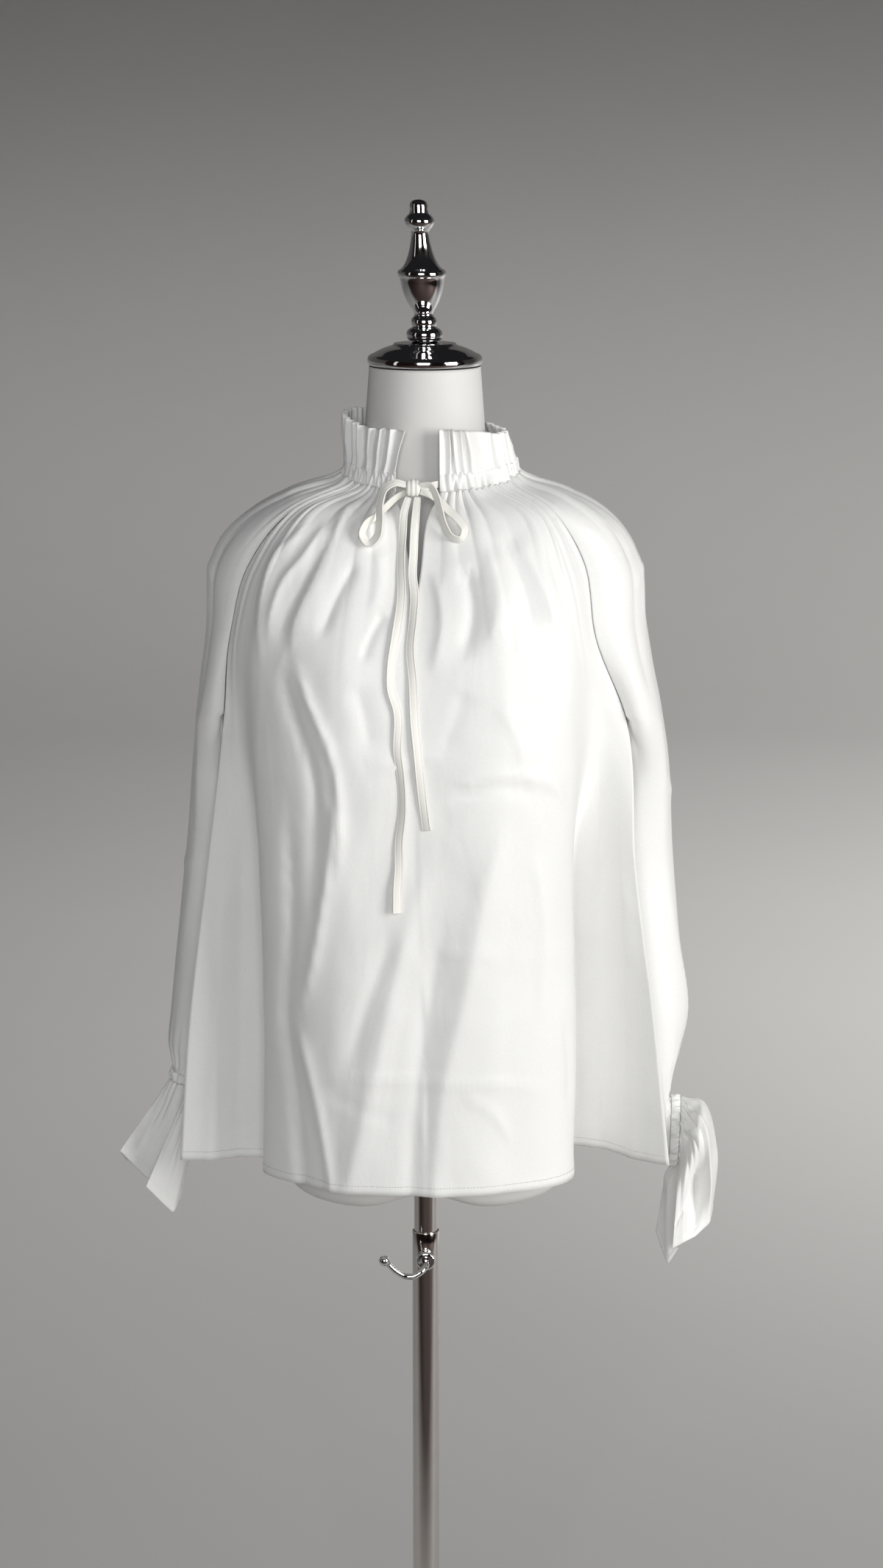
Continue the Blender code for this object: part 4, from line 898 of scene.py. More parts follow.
def swept(route: Array, section: Array, twist: Array, across: Array, size: Array) -> Array:
    """Rings of a flat section carried along a route.

    Args:
        route: points of the centre line.
        section: the section's points, as across and through.
        twist: radians that each ring turns about the line.
        across: the direction that the section's width lies near, for each point.
        size: scales for across and through at each point.

    Returns:
        Points as rings, places round a ring, coordinates.
    """
    tangent = unit(np.gradient(route, axis=0))
    wide = unit(across - (tangent * across).sum(axis=1, keepdims=True) * tangent)
    through = np.cross(tangent, wide)
    c, s = np.cos(twist)[:, None], np.sin(twist)[:, None]
    wide, through = c * wide + s * through, c * through - s * wide
    part = section[None] * size[:, None, :]
    return route[:, None] + part[..., :1] * wide[:, None] + part[..., 1:] * through[:, None]


def stitches(name: str, line: Array, normal: Array, pitch: float = 0.0028, long: float = 0.0021,
             thick: float = 0.00028) -> Thing:
    """A row of stitches: short spindles along a line, each sunk half into the cloth.

    Args:
        name: the piece's name.
        line: points of the seam line.
        normal: the cloth's normals there.
        pitch: distance from stitch to stitch.
        long: length of a stitch.
        thick: radius of a stitch.

    Returns:
        The new object.
    """
    at = lengths(line)
    middle = np.arange(pitch, at[-1] - pitch, pitch)
    along = np.linspace(-0.5, 0.5, 5) * long
    path = smooth(line, at, (middle[:, None] + along[None]).ravel()).reshape(-1, 5, 3)
    up = unit(smooth(normal, at, middle)[:, None])
    side = unit(np.cross(path[:, -1:] - path[:, :1], up))
    turn = full_turn(6)[:, None]
    radius = thick * np.array([0.25, 0.9, 1.0, 0.9, 0.25])[None, :, None, None]
    rings = path[:, :, None] + radius * (np.cos(turn) * side[:, :, None]
                                         + np.sin(turn) * up[:, :, None])
    index = np.arange(len(middle) * 30).reshape(-1, 5, 6)
    ends = index[:, 0].tolist() + index[:, -1, ::-1].tolist()
    index = np.concatenate([index, index[:, :, :1]], axis=2)
    made = make_piece(name, rings, quads(index).tolist() + ends)
    face_towards(made, rings[0, 2].mean(0) + up[0, 0] * 0.02)
    return made


# ---------------------------------------------------------------- finishes
def rgba(colour: Sequence[float], scale: float = 1.0) -> tuple:
    """A colour, darkened or not, with full alpha."""
    return (*(part * scale for part in colour), 1)


class NodeTree:
    """A small builder of shader nodes in one tree."""

    def __init__(self, tree: bpy.types.NodeTree) -> None:
        """Starts on an empty or existing tree."""
        self.tree = tree

    def put(self, node: bpy.types.Node, values: dict) -> None:
        """Fills a node's inputs.

        Args:
            node: the node.
            values: input name or number to a socket, which is linked, or to a plain value.
        """
        for name, value in values.items():
            if isinstance(value, Socket):
                self.tree.links.new(value, node.inputs[name])
            else:
                node.inputs[name].default_value = value

    def add(self, kind: str, values: Optional[dict] = None, **settings: object) -> bpy.types.Node:
        """A new node.

        Args:
            kind: the node's type name after "ShaderNode", or a full type name.
            values: what its inputs get.
            settings: attributes of the node.

        Returns:
            The node.
        """
        node = self.tree.nodes.new(kind if kind.startswith("Node") else "ShaderNode" + kind)
        for name, value in settings.items():
            setattr(node, name, value)
        self.put(node, values or {})
        return node

    def math(self, operation: str, *values: object) -> Socket:
        """The output of a math node over sockets or numbers."""
        return self.add("Math", dict(enumerate(values)), operation=operation).outputs[0]

    def mix(self, factor: object, low: object, high: object, blend: str = "MIX") -> Socket:
        """The mix of two colours by a factor."""
        return self.add("Mix", {"Factor": factor, "A": low, "B": high}, data_type="RGBA",
                        blend_type=blend).outputs["Result"]

    def noise(self, place: Socket, scale: object, detail: float, **more: float) -> Socket:
        """A noise texture's value; more are its other inputs."""
        values = {"Vector": place, "Scale": scale, "Detail": detail}
        return self.add("TexNoise", values | {name.title(): v for name, v in more.items()}
                        ).outputs[0]

    def ranged(self, value: Socket, start: tuple, end: tuple = (0.0, 1.0),
               steps: str = "LINEAR") -> Socket:
        """A value carried from the range start to the range end."""
        return self.add("MapRange", {"Value": value, "From Min": start[0], "From Max": start[1],
                                     "To Min": end[0], "To Max": end[1]},
                        interpolation_type=steps).outputs[0]

    def bump(self, height: Socket, strength: float, distance: float, **more: Socket) -> Socket:
        """A bump's normal; more may hold the Normal that it starts from."""
        return self.add("Bump", {"Height": height, "Strength": strength, "Distance": distance,
                                 **more}).outputs[0]


def new_group(name: str, inputs: dict, outputs: Sequence[str]) -> tuple:
    """An empty shader node group with named sockets.

    Args:
        name: the group's name.
        inputs: socket name to (type, default).
        outputs: names of its values.

    Returns:
        The builder, the group's input sockets by name and its output node.
    """
    tree = bpy.data.node_groups.new(name, "ShaderNodeTree")
    for socket, (kind, value) in inputs.items():
        made = tree.interface.new_socket(socket, in_out="INPUT", socket_type="NodeSocket" + kind)
        if value is not None:
            made.default_value = value
    for socket in outputs:
        tree.interface.new_socket(socket, in_out="OUTPUT", socket_type="NodeSocketFloat")
    build = NodeTree(tree)
    return build, build.add("NodeGroupInput").outputs, build.add("NodeGroupOutput")


def weave_group() -> bpy.types.NodeTree:
    """Fine plain weave: two crossed sine waves of threads, uneven along their length.

    Returns:
        The group.
    """
    build, given, out = new_group("weave", {"Place": ("Vector", None), "Threads": (
        "Float", 2200.0)}, ("Height", "Shade"))
    place = build.add("SeparateXYZ", {0: given["Place"]})
    waves = [build.math("SINE", build.math("MULTIPLY", place.outputs[axis], given["Threads"]))
             for axis in ("X", "Y")]
    slub = build.noise(given["Place"], 420.0, 2.0, roughness=0.6)
    cross = build.math("MULTIPLY", build.math("MULTIPLY", *waves), 0.35)
    build.put(out, {"Height": build.math("ADD", cross, slub),
                    "Shade": build.math("ADD", build.math("MULTIPLY", slub, 0.08), 0.96)})
    return build.tree


def rumple_group() -> bpy.types.NodeTree:
    """Soft rumples and faint press lines: slow noise, and the middle lines of a finer one.

    Returns:
        The group.
    """
    build, given, out = new_group("rumples", {"Place": ("Vector", None), "Scale": (
        "Float", 9.0)}, ("Height",))
    place = build.add("Mapping", {"Vector": given["Place"], "Scale": (1.0, 1.0, 0.45)}).outputs[0]
    slow = build.noise(place, given["Scale"], 3.0, roughness=0.45, distortion=0.6)
    fine = build.noise(place, build.math("MULTIPLY", given["Scale"], 3.7), 2.0, roughness=0.5,
                       distortion=0.9)
    away = build.math("MULTIPLY", build.math("ABSOLUTE", build.math("SUBTRACT", fine, 0.5)), 6.0)
    ridge = build.math("SUBTRACT", 1.0, build.math("MINIMUM", away, 1.0))
    build.put(out, {"Height": build.math("ADD", slow, build.math("MULTIPLY", ridge, 0.02))})
    return build.tree


def handling_group() -> bpy.types.NodeTree:
    """Handling marks: a faint uneven haze for polished or painted surfaces.

    Returns:
        The group.
    """
    build, given, out = new_group("handling", {"Place": ("Vector", None), "Scale": (
        "Float", 30.0)}, ("Mask",))
    haze = build.noise(given["Place"], given["Scale"], 5.0, roughness=0.65)
    build.put(out, {"Mask": build.ranged(haze, (0.35, 0.75))})
    return build.tree


@dataclass(frozen=True)
class Finish:
    """What every finish has: its name, colour and roughness."""

    name: str
    colour: tuple
    roughness: float

    def start(self) -> tuple:
        """Starts a material.

        Returns:
            The material, its builder, its Principled shader and its texture coordinates.
        """
        material = bpy.data.materials.new(self.name)
        material.use_nodes = True
        build = NodeTree(material.node_tree)
        place = build.add("TexCoord").outputs
        return material, build, material.node_tree.nodes["Principled BSDF"], place

    def handled(self, groups: dict, scale: float, dull: float, spread: float) -> tuple:
        """A material whose handling marks darken and roughen it.

        Args:
            groups: the shared groups by name.
            scale: how fine the marks are.
            dull: times its colour, where it is handled most.
            spread: added to its roughness there.

        Returns:
            What start gives.
        """
        material, build, shader, place = self.start()
        mask = build.add("Group", {"Place": place["Object"], "Scale": scale},
                         node_tree=groups["handling"]).outputs["Mask"]
        build.put(shader, {
            "Base Color": build.mix(mask, rgba(self.colour), rgba(self.colour, dull)),
            "Roughness": build.ranged(mask, (0.0, 1.0), (self.roughness,
                                                         self.roughness + spread))})
        return material, build, shader, place


@dataclass(frozen=True)
class Satin(Finish):
    """Satiny cloth: ivory, softly shining, with its weave and faint rumples."""

    sheen: float = 0.18
    rumples: float = 0.004  # height of the shaded rumples
    threads: float = 0.00006  # height of the weave

    def make(self, groups: dict) -> Material:
        """The finish as a material: clouds of tone and gloss, and two bumps.

        Args:
            groups: the shared groups by name.

        Returns:
            The material.
        """
        material, build, shader, place = self.start()
        weave = build.add("Group", {"Place": place["UV"]}, node_tree=groups["weave"])
        rumple = build.add("Group", {"Place": place["Object"]}, node_tree=groups["rumples"])
        cloud = build.noise(place["Object"], 14.0, 3.0)
        tone = build.mix(build.ranged(cloud, (0.3, 0.7)), rgba(self.colour, 0.972),
                         rgba(self.colour))
        soft = build.bump(rumple.outputs["Height"], 1.0, self.rumples)
        build.put(shader, {
            "Base Color": build.mix(1.0, tone, weave.outputs["Shade"], "MULTIPLY"),
            "Roughness": build.ranged(cloud, (0.0, 1.0), (self.roughness - 0.05,
                                                          self.roughness + 0.05)),
            "Normal": build.bump(weave.outputs["Height"], 0.35, self.threads, Normal=soft),
            "Specular IOR Level": 0.42, "Sheen Weight": self.sheen, "Sheen Roughness": 0.35})
        return material


@dataclass(frozen=True)
class FormCover(Finish):
    """The form's smooth matte skin, with a fine grain."""

    def make(self, groups: dict) -> Material:
        """The finish as a material.

        Args:
            groups: the shared groups by name.

        Returns:
            The material.
        """
        material, build, shader, place = self.handled(groups, 11.0, 0.95, 0.12)
        grain = build.noise(place["Object"], 900.0, 2.0)
        build.put(shader, {"Normal": build.bump(grain, 0.25, 0.0002)})
        return material


@dataclass(frozen=True)
class Plating(Finish):
    """Polished plated metal with faint handling marks."""

    def make(self, groups: dict) -> Material:
        """The finish as a material.

        Args:
            groups: the shared groups by name.

        Returns:
            The material.
        """
        material, build, shader, _ = self.handled(groups, 38.0, 0.93, 0.09)
        build.put(shader, {"Metallic": 1.0})
        return material


@dataclass(frozen=True)
class Paper(Finish):
    """The studio's seamless paper: pale low down, darker up its curve as painted shade where
    less light reaches it, and a painted reflection of the unlit room in front of it: a dark
    colour which only polished metal mirrors."""

    # painted shade: the darker colour that the paper takes up its curve, where less light reaches
    # it
    high: tuple
    # seen only by polished metal: the painted reflection of the unlit room
    room: tuple
    rise: tuple = (0.1, 2.3)  # heights between which its painted shade darkens it
    front: tuple = (-0.25, -0.9)  # y between which the painted reflection of the room begins

    def make(self, groups: dict) -> Material:
        """The finish as a material, with its painted shade and its painted reflection.

        Args:
            groups: the shared groups by name.

        Returns:
            The material.
        """
        material, build, shader, place = self.start()
        axes = build.add("SeparateXYZ", {0: place["Object"]}).outputs
        scuff = build.add("Group", {"Place": place["Object"], "Scale": 1.3},
                          node_tree=groups["handling"]).outputs["Mask"]
        # painted shade: darker with height towards the high colour, with faint scuffs added
        rise = build.math("ADD", build.ranged(axes["Z"], self.rise, steps="SMOOTHSTEP"),
                          build.math("MULTIPLY", scuff, 0.03))
        # painted reflection: glossy rays see the paper towards the front in the dark room colour
        painted_reflection = build.math("MULTIPLY", build.ranged(axes["Y"], self.front),
                              build.add("LightPath").outputs["Is Glossy Ray"])
        paper = build.mix(rise, rgba(self.colour), rgba(self.high))
        build.put(shader, {"Base Color": build.mix(painted_reflection, paper, rgba(self.room)),
                           "Roughness": self.roughness})
        return material


class Wardrobe:
    """All finishes, each made once."""

    def __init__(self) -> None:
        """Makes the shared groups and then the finishes."""
        groups = {"weave": weave_group(), "rumples": rumple_group(),
                  "handling": handling_group()}
        self.satin, self.tie, self.thread, self.skin, self.chrome, self.nickel, self.floor = (
            finish.make(groups) for finish in (
                Satin("ivory_satin", (0.90, 0.897, 0.88), 0.43),
                Satin("tie_satin", (0.88, 0.865, 0.81), 0.45, 0.15, 0.0008),
                Satin("sewing_thread", (0.58, 0.56, 0.52), 0.6, 0.1, 0.0),
                FormCover("form_skin", (0.76, 0.75, 0.73), 0.5),
                Plating("polished_chrome", (0.88, 0.88, 0.89), 0.03),
                Plating("pole_nickel", (0.80, 0.765, 0.73), 0.05),
                # pale paper, its painted shade up high and the painted reflection of the dark room
                Paper("studio_paper", (0.63, 0.62, 0.605), 0.85, (0.215, 0.21, 0.205),
                      (0.045, 0.022, 0.017))))


def dress(thing: Thing, material: Material, body: str,
          replaces: Sequence[str] = ()) -> Thing:
    """Gives a piece its finish, its body and the nodes that it stands for.

    Args:
        thing: the piece.
        material: its finish.
        body: the body that it rides on.
        replaces: the nodes.

    Returns:
        The piece.
    """
    thing.data.materials.clear()
    thing.data.materials.append(material)
    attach(thing, body)
    if replaces:
        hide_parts(*replaces)
    LOG.info("%s: %d faces", thing.name, len(thing.data.polygons))
    return thing


def cloth_piece(name: str, node: str, mesh: tuple, outside: tuple, wall: float,
                material: Material) -> Thing:
    """A piece of the blouse with its wall and finish.

    Args:
        name: the piece's name after "blouse_".
        node: the node that it stands for.
        mesh: its points, faces and places on the cloth.
        outside: a place outside it.
        wall: its thickness, which lies inwards.
        material: its cloth.

    Returns:
        The new object.
    """
    piece = make_piece("blouse_" + name, *mesh)
    add_wall(piece, outside, wall)
    return dress(piece, material, "bust", (node,))


def declare_sheet(thing: Thing) -> None:
    """Reads the areas of a cut piece's faces, and keeps nothing.

    Args:
        thing: the piece.
    """
    shown = np.empty(len(thing.data.polygons))
    thing.data.polygons.foreach_get("area", shown)


# ---------------------------------------------------------------- the blouse
@dataclass
class Panels:
    """The front and the back, which hang from the neck casing."""

    columns: int = 120  # of a half panel
    row_factor: int = 12
    cut: tuple = (0.74, 0.66)
    front_share: float = 0.71  # of its cut that is cloth
    back_share: float = 0.70
    gather_reach: tuple = (0.016, 0.120)
    rumple_depth: float = 0.0030
    crease_sharp: float = 0.6
    seam_fade: float = 0.016  # beside a seam, over which the relief grows
    pucker_depth: float = 0.0005  # along the seams
    pucker_pitch: float = 0.013
    back_folds: float = 3.5  # half waves in half the back
    back_fold_depth: float = 0.011
    back_folds_top: float = 1.15  # height at which they begin
    lap_reach: int = 30  # columns of the back that follow the front's side seam
    hem_rows: int = 14  # that the stitch line is looked for in

    def row_counts(self) -> tuple:
        """Rows between a panel's levels."""
        return tuple(n * self.row_factor for n in LEVEL_ROWS)

    def rows_to(self, level: int) -> int:
        """Number of the row at a level."""
        return sum(self.row_counts()[:level])

    def surface(self, ribs: Array, past: Array, widths: tuple) -> tuple:
        """The smooth surface over lines of points that run from the neck ring to the hem.

        Args:
            ribs: points as levels, lines from the seam to the centre, coordinates.
            past: one more line, past the centre, which only steers the curve.
            widths: relative width between the lines.

        Returns:
            A grid of points, and where each of its columns lies among the lines.
        """
        down = row_distances(ribs)
        lines = np.concatenate([ribs, past[:, None]], axis=1)
        rows = smooth(lines, down, divided(down, self.row_counts()))
        knots = np.cumsum((0,) + widths + widths[-1:])
        at = np.linspace(0, knots[-2], self.columns + 1)
        return smooth(rows.transpose(1, 0, 2), knots, at).transpose(1, 0, 2), at

    def hem_relief(self, left: Array, at: Array) -> Array:
        """The turned-up hem: a second layer, a groove along its stitches and small ripples.

        Args:
            left: each point's distance above the hem.
            at: where the columns lie among the ribs.

        Returns:
            Heights, shaped as left.
        """
        hem = 0.00035 * (1 - ramp(left, HEM_FOLD - 0.0015, HEM_FOLD))
        hem -= 0.0006 * bell(left - HEM_FOLD + STITCH_IN, 0.0011)
        return hem + 0.0003 * np.sin(2 * math.pi * at / 0.9) * bell(left - 0.008, 0.006)

    def finish_half(self, grid: Array, at: Array, place: Array, lines: Sequence[Crease],
                    seed: int, way: float) -> Array:
        """A half panel with its gathers, creases, rumples and turned hem.

        Args:
            grid: the plain half panel from its seam to its centre.
            at: where its columns lie among the ribs.
            place: how many gathers round the neck lie before each column.
            lines: creases drawn as the panel is seen from outside.
            seed: chooses the rumples.
            way: -1 for the front and 1 for the back.

        Returns:
            The grid with its points moved.
        """
        grid = clear_of_form(grid, FORM_CLEAR)
        normal = outward_normals(grid, (0.0, way, 0.0))
        normal[0, :, 2] = 0.0
        seam, drop, view = along_rows(grid), along_columns(grid), grid[..., [0, 2]]
        bold, fine = neck_gathers(grid, place, self.gather_reach)
        relief = crease_relief(view, lines, sharp=self.crease_sharp) * ramp(drop, 0.0, 0.02)
        relief += rumple_relief(view, seed, self.rumple_depth) * ramp(drop, 0.05, 0.18)
        pucker = self.pucker_depth * np.sin(
            2 * math.pi * drop / self.pucker_pitch + 3 * np.sin(drop * 37))
        relief += pucker * bell(seam - 0.004, 0.004)
        relief += self.hem_relief(drop[-1] - drop, at)
        lift = bold + fine * ramp(at, 0, 1) + relief * ramp(seam, 0.0, self.seam_fade)
        lift += trumpet(drop) - seam_roll(seam)
        return grid + lift[..., None] * normal

    def front_half(self, side: Side) -> Array:
        """Half the front from the neck ring to the hem.

        Args:
            side: which half.

        Returns:
            Its grid, with columns from its seam to its centre.
        """
        hand, other = side.index, 1 - side.index
        share = np.cumsum((0,) + FRONT_RIBS) / sum(FRONT_RIBS)
        turns = [FRONT_SEAMS[i] + (FRONT_EDGES[i] - FRONT_SEAMS[i]) * share for i in (0, 1)]
        ribs = np.concatenate([on_ring(turns[hand], NECK_LINE)[None], FRONTS[hand]])
        past = np.concatenate([on_ring(turns[other][3:4], NECK_LINE), FRONTS[other, :, 3]])
        grid, at = self.surface(ribs, past, FRONT_RIBS)
        place = FRONT_GATHERS[hand] - side.value * at / GATHER_RIBS
        return self.finish_half(grid, at, place, FRONT_CREASES, 5 + hand, -1.0)

    def back_half(self, side: Side) -> Array:
        """Half the back, with slow folds that open towards the hem.

        A fold's depth grows evenly below the shoulder blades and follows a cosine of its place.

        Args:
            side: which half.

        Returns:
            Its grid, with columns from its seam to its centre.
        """
        seam = BACK_SEAMS[side.index]
        turns = seam + (90 - seam) * np.cumsum((0,) + BACK_RIBS) / sum(BACK_RIBS)
        ribs = np.concatenate([on_ring(turns, NECK_LINE)[None], BACK * (side.value, 1, 1)])
        past = ribs[:, 2] * (-1, 1, 1)
        past[0] = on_ring(180 - turns[2], NECK_LINE)
        grid, at = self.surface(ribs, past, BACK_RIBS)
        share = np.linspace(0, 1, grid.shape[1])
        fall = np.clip((self.back_folds_top - grid[..., 2]) / (self.back_folds_top - HEM_Z), 0, 1)
        wave = np.cos(math.pi * self.back_folds * (1 - share))
        wave = wave * np.sin(math.pi * np.minimum(share * 1.4, 0.5)) ** 2
        grid[..., 1] += self.back_fold_depth * fall * wave
        place = BACK_GATHERS[side.index] + side.value * at / GATHER_RIBS
        return self.finish_half(grid, at, place, BACK_CREASES, 9 + side.index, 1.0)

    def joined(self, halves: Sequence[Array], first_shared: int) -> tuple:
        """One sheet from two halves that share their centre line from a row on.

        Args:
            halves: the left and the right grid, each from its seam to its centre.
            first_shared: the row.

        Returns:
            The sheet's points, faces and places on the cloth.
        """
        left, right = halves
        a, b = numbered(left), numbered(right, first=left[..., 0].size)
        b[first_shared:, -1] = a[first_shared:, -1]
        places = [cloth_uv(half) for half in halves]
        for place, sign in zip(places, (1, -1)):
            place[..., 0] = sign * (place[..., 0] - place[:, -1:, 0])
        points = np.concatenate([half.reshape(-1, 3) for half in halves])
        uv = np.concatenate([place.reshape(-1, 2) for place in places])
        points, uv, a, b = used_only(points, uv, a, b)
        return points, np.concatenate([quads(a), quads(b[:, ::-1])]), uv

    def hem_line(self, halves: Sequence[Array], way: float) -> tuple:
        """The hem's stitch line over both halves.

        Args:
            halves: the left and the right grid.
            way: -1 for the front and 1 for the back.

        Returns:
            Points of the line, and the cloth's normals there.
        """
        left, right = halves
        hem = slice(-self.hem_rows, None)
        whole = np.concatenate([left[hem], right[hem, -2::-1]], axis=1)
        rest = along_columns(whole[::-1])[::-1]
        row = np.abs(rest - (HEM_FOLD - STITCH_IN)).argmin(axis=0)
        pick = np.arange(whole.shape[1])
        normal = outward_normals(whole, (0.0, way, 0.0))
        depth = (HEM_FOLD - STITCH_IN - rest[row, pick])[:, None]
        return whole[row, pick] + depth * unit(whole[0] - whole[-1]), normal[row, pick]

    def build(self, wardrobe: Wardrobe) -> tuple:
        """Makes both panels and their hem stitching.

        Args:
            wardrobe: the finishes.

        Returns:
            The front's halves and the back's halves as grids, for the pieces sewn to them.
        """
        slit_end = self.rows_to(SLIT_LEVELS)
        below = slice(self.rows_to(BODY_LEVELS), None)
        fronts = [self.front_half(side) for side in Side]
        self.meet(fronts, slit_end)
        backs = [self.back_half(side) for side in Side]
        for half, front in zip(backs, fronts):
            match_edge(half, below, 0, front[below, 0] + (0, SIDE_LAP, 0), self.lap_reach)
        self.meet(backs, 0)
        for name, halves, shared, way, share in (
                ("front", fronts, slit_end, -1.0, self.front_share),
                ("back", backs, 0, 1.0, self.back_share)):
            panel = cloth_piece(name, name, self.joined(halves, shared), (0.0, way, 1.0), CLOTH,
                                wardrobe.satin)
            hem = stitches(f"hem_stitching_{name}", *self.hem_line(halves, way))
            dress(hem, wardrobe.thread, "bust")
            declare_sheet(panel)
        return fronts, backs

    @staticmethod
    def meet(halves: Sequence[Array], row: int) -> None:
        """Puts two halves' centre lines on their mean, from a row on."""
        middle = (halves[0][row:, -1] + halves[1][row:, -1]) / 2
        halves[0][row:, -1] = halves[1][row:, -1] = middle


def ring_points(ring: Ring, side: Side, degrees: Array, grow: Array = 0.0) -> Array:
    """Points round a slanted oval.

    Args:
        ring: the oval.
        side: the arm that it lies round.
        degrees: places round it, 0 outwards and 90 back.
        grow: how far each point is moved outwards.

    Returns:
        One point for each place.
    """
    a, lift = np.radians(np.asarray(degrees, float)), math.radians(ring.lift)
    reach = (ring.wide + grow) * np.cos(a)
    return np.stack([side.value * (ring.out + reach * math.cos(lift)),
                     ring.back + (ring.deep + grow) * np.sin(a),
                     ring.z + reach * math.sin(lift)], axis=-1)


def shifted(a: Ring, b: Ring, gap: float) -> Ring:
    """A ring moved from a towards b by a gap."""
    start, end = np.array(a), np.array(b)
    return Ring(*(start + (end - start) * gap / np.linalg.norm((end - start)[:3])))


def over_arm(front: Array, outermost: Array, back: Array, share: Array) -> Array:
    """A row over the arm: the straight line between the seams, raised by a half sine wave.

    Args:
        front: the row's point on the front seam.
        outermost: its point furthest from the pole.
        back: its point on the back seam.
        share: from 0 at the front seam to 1 at the back seam.

    Returns:
        One point for each share.
    """
    seam = front + (back - front) * share[:, None]
    deep = np.where(share < 0.5, front[1], back[1]) - outermost[1]
    row = seam + (outermost - seam) * np.sin(math.pi * share)[:, None]
    row[:, 1] = outermost[1] + deep * np.abs(np.cos(math.pi * share))
    return row


@dataclass
class Sleeve:
    """A raglan sleeve: a strip over the shoulder that closes into a tube at the underarm."""

    side: Side
    cut: tuple
    cut_share: float  # of its cut that is cloth
    columns: int = 120
    row_factor: int = 12
    closing_rows: int = 16  # over which the tube leaves the underarm
    edge_reach: int = 53  # columns that follow a seam
    shoulder_round: float = 0.0035
    gather_reach: tuple = (0.016, 0.10)
    crease_strength: float = 0.75
    rumple_depth: float = 0.0016

    def plain_grid(self, share: Array) -> tuple:
        """The sleeve before its folds.

        Args:
            share: places across it, from 0 at the front seam to 1 at the back seam.

        Returns:
            Its grid, and the number of its underarm row.
        """
        side, hand = self.side, self.side.index
        start, end = FRONT_SEAMS[hand], BACK_SEAMS[hand] + 360 * hand
        rows = [on_ring(start + (end - start) * share, NECK_LINE)]
        rows += [over_arm(*seams, share) for seams in zip(
            FRONTS[hand, :, 0], SHOULDERS[hand], BACK[:, 0] * (side.value, 1, 1))]
        rings = ARMS[hand] + (shifted(ARMS[hand][-1], WRISTS[hand], WRIST_LAND),)
        rows = np.array(rows + [ring_points(r, side, ARM_START + 360 * share) for r in rings])
        down = row_distances(rows)
        counts = tuple(n * self.row_factor for n in LEVEL_ROWS[:BODY_LEVELS] + ARM_ROWS[hand])
        at = divided(down, counts + (4,))
        grid = smooth(rows, down, at)
        swell = np.clip((at - down[1]) / (down[2] - down[1]), 0, 1)
        swell = self.shoulder_round * np.sin(math.pi * swell)[:, None] * np.sin(
            math.pi * share) ** 2
        grid[..., 0] += side.value * swell * 0.7
        grid[..., 2] += swell * 0.7
        return clear_of_form(grid, FORM_CLEAR), sum(counts[:BODY_LEVELS])

    def sewn(self, grid: Array, underarm: int, panels: Sequence[Array]) -> None:
        """Moves the sleeve's edges onto the panels' above the underarm, and together below it.

        Args:
            grid: the sleeve's grid, which is changed.
            underarm: the number of its underarm row.
            panels: the halves of the front and the back on its side.
        """
        above, below = slice(0, underarm), slice(underarm, underarm + self.closing_rows)
        for column, beside, panel in ((0, 3, panels[0]), (-1, -4, panels[1])):
            inward = unit(grid[above, beside] - grid[above, column])
            match_edge(grid, above, column, panel[above, 0] + SEAM_GAP * inward, self.edge_reach)
        closing = (panels[0][underarm, 0] + panels[1][underarm, 0]) / 2
        closing = closing + (self.side.value * 0.0026, 0, -0.001)
        fade = 1 - ramp(np.arange(self.closing_rows), 0, self.closing_rows)[:, None]
        for column in (0, -1):
            target = grid[below, column] + fade * (closing - grid[underarm, column])
            match_edge(grid, below, column, target, self.edge_reach)
        grid[underarm:, 0] = grid[underarm:, -1] = (grid[underarm:, 0] + grid[underarm:, -1]) / 2

    def relief(self, grid: Array, share: Array, underarm: int) -> Array:
        """Moves of the sleeve's points: gathers at both ends, creases and rumples.

        Args:
            grid: the sewn sleeve.
            share: places across it.
            underarm: the number of its underarm row.

        Returns:
            A move for each point.
        """
        side, hand = self.side, self.side.index
        normal = normals_of(grid)
        if (normal[:, self.columns // 2, 0]).mean() * side.value < 0:
            normal = -normal
        normal[0, :, 2] = 0.0
        drop, rows = along_columns(grid), np.arange(len(grid))[:, None]
        place = FRONT_GATHERS[hand] + side.value * SLEEVE_GATHERS * share
        bold, fine = neck_gathers(grid, place, self.gather_reach)
        view = np.stack([(share - 0.5) * ARM_GIRTH + 0 * drop, grid[..., 2]], axis=-1)
        edge = np.sin(math.pi * share) ** 0.6
        edge = np.where(rows > underarm, ramp(edge, 0, 0.35), edge)
        relief = crease_relief(view, SLEEVE_CREASES[hand], self.crease_strength)
        relief = relief * ramp(drop, 0.01, 0.04)
        relief += rumple_relief(view + (0.3 * side.value, 0), 21 + hand, self.rumple_depth)
        left = drop[-1] - drop
        wrist = WRIST_DEPTH * (wrist_ridge(ARM_START + 360 * share, hand) - 0.5)
        wrist = wrist * bell(left, 0.03, 1.3)
        relief = relief * ramp(left, 0.002, 0.03) * edge + wrist * ramp(left, 0.001, 0.008)
        across = along_rows(grid)
        relief -= seam_roll(np.minimum(across, across[:, -1:] - across)) * (rows < underarm)
        return (bold + fine + (relief + trumpet(drop)))[..., None] * normal

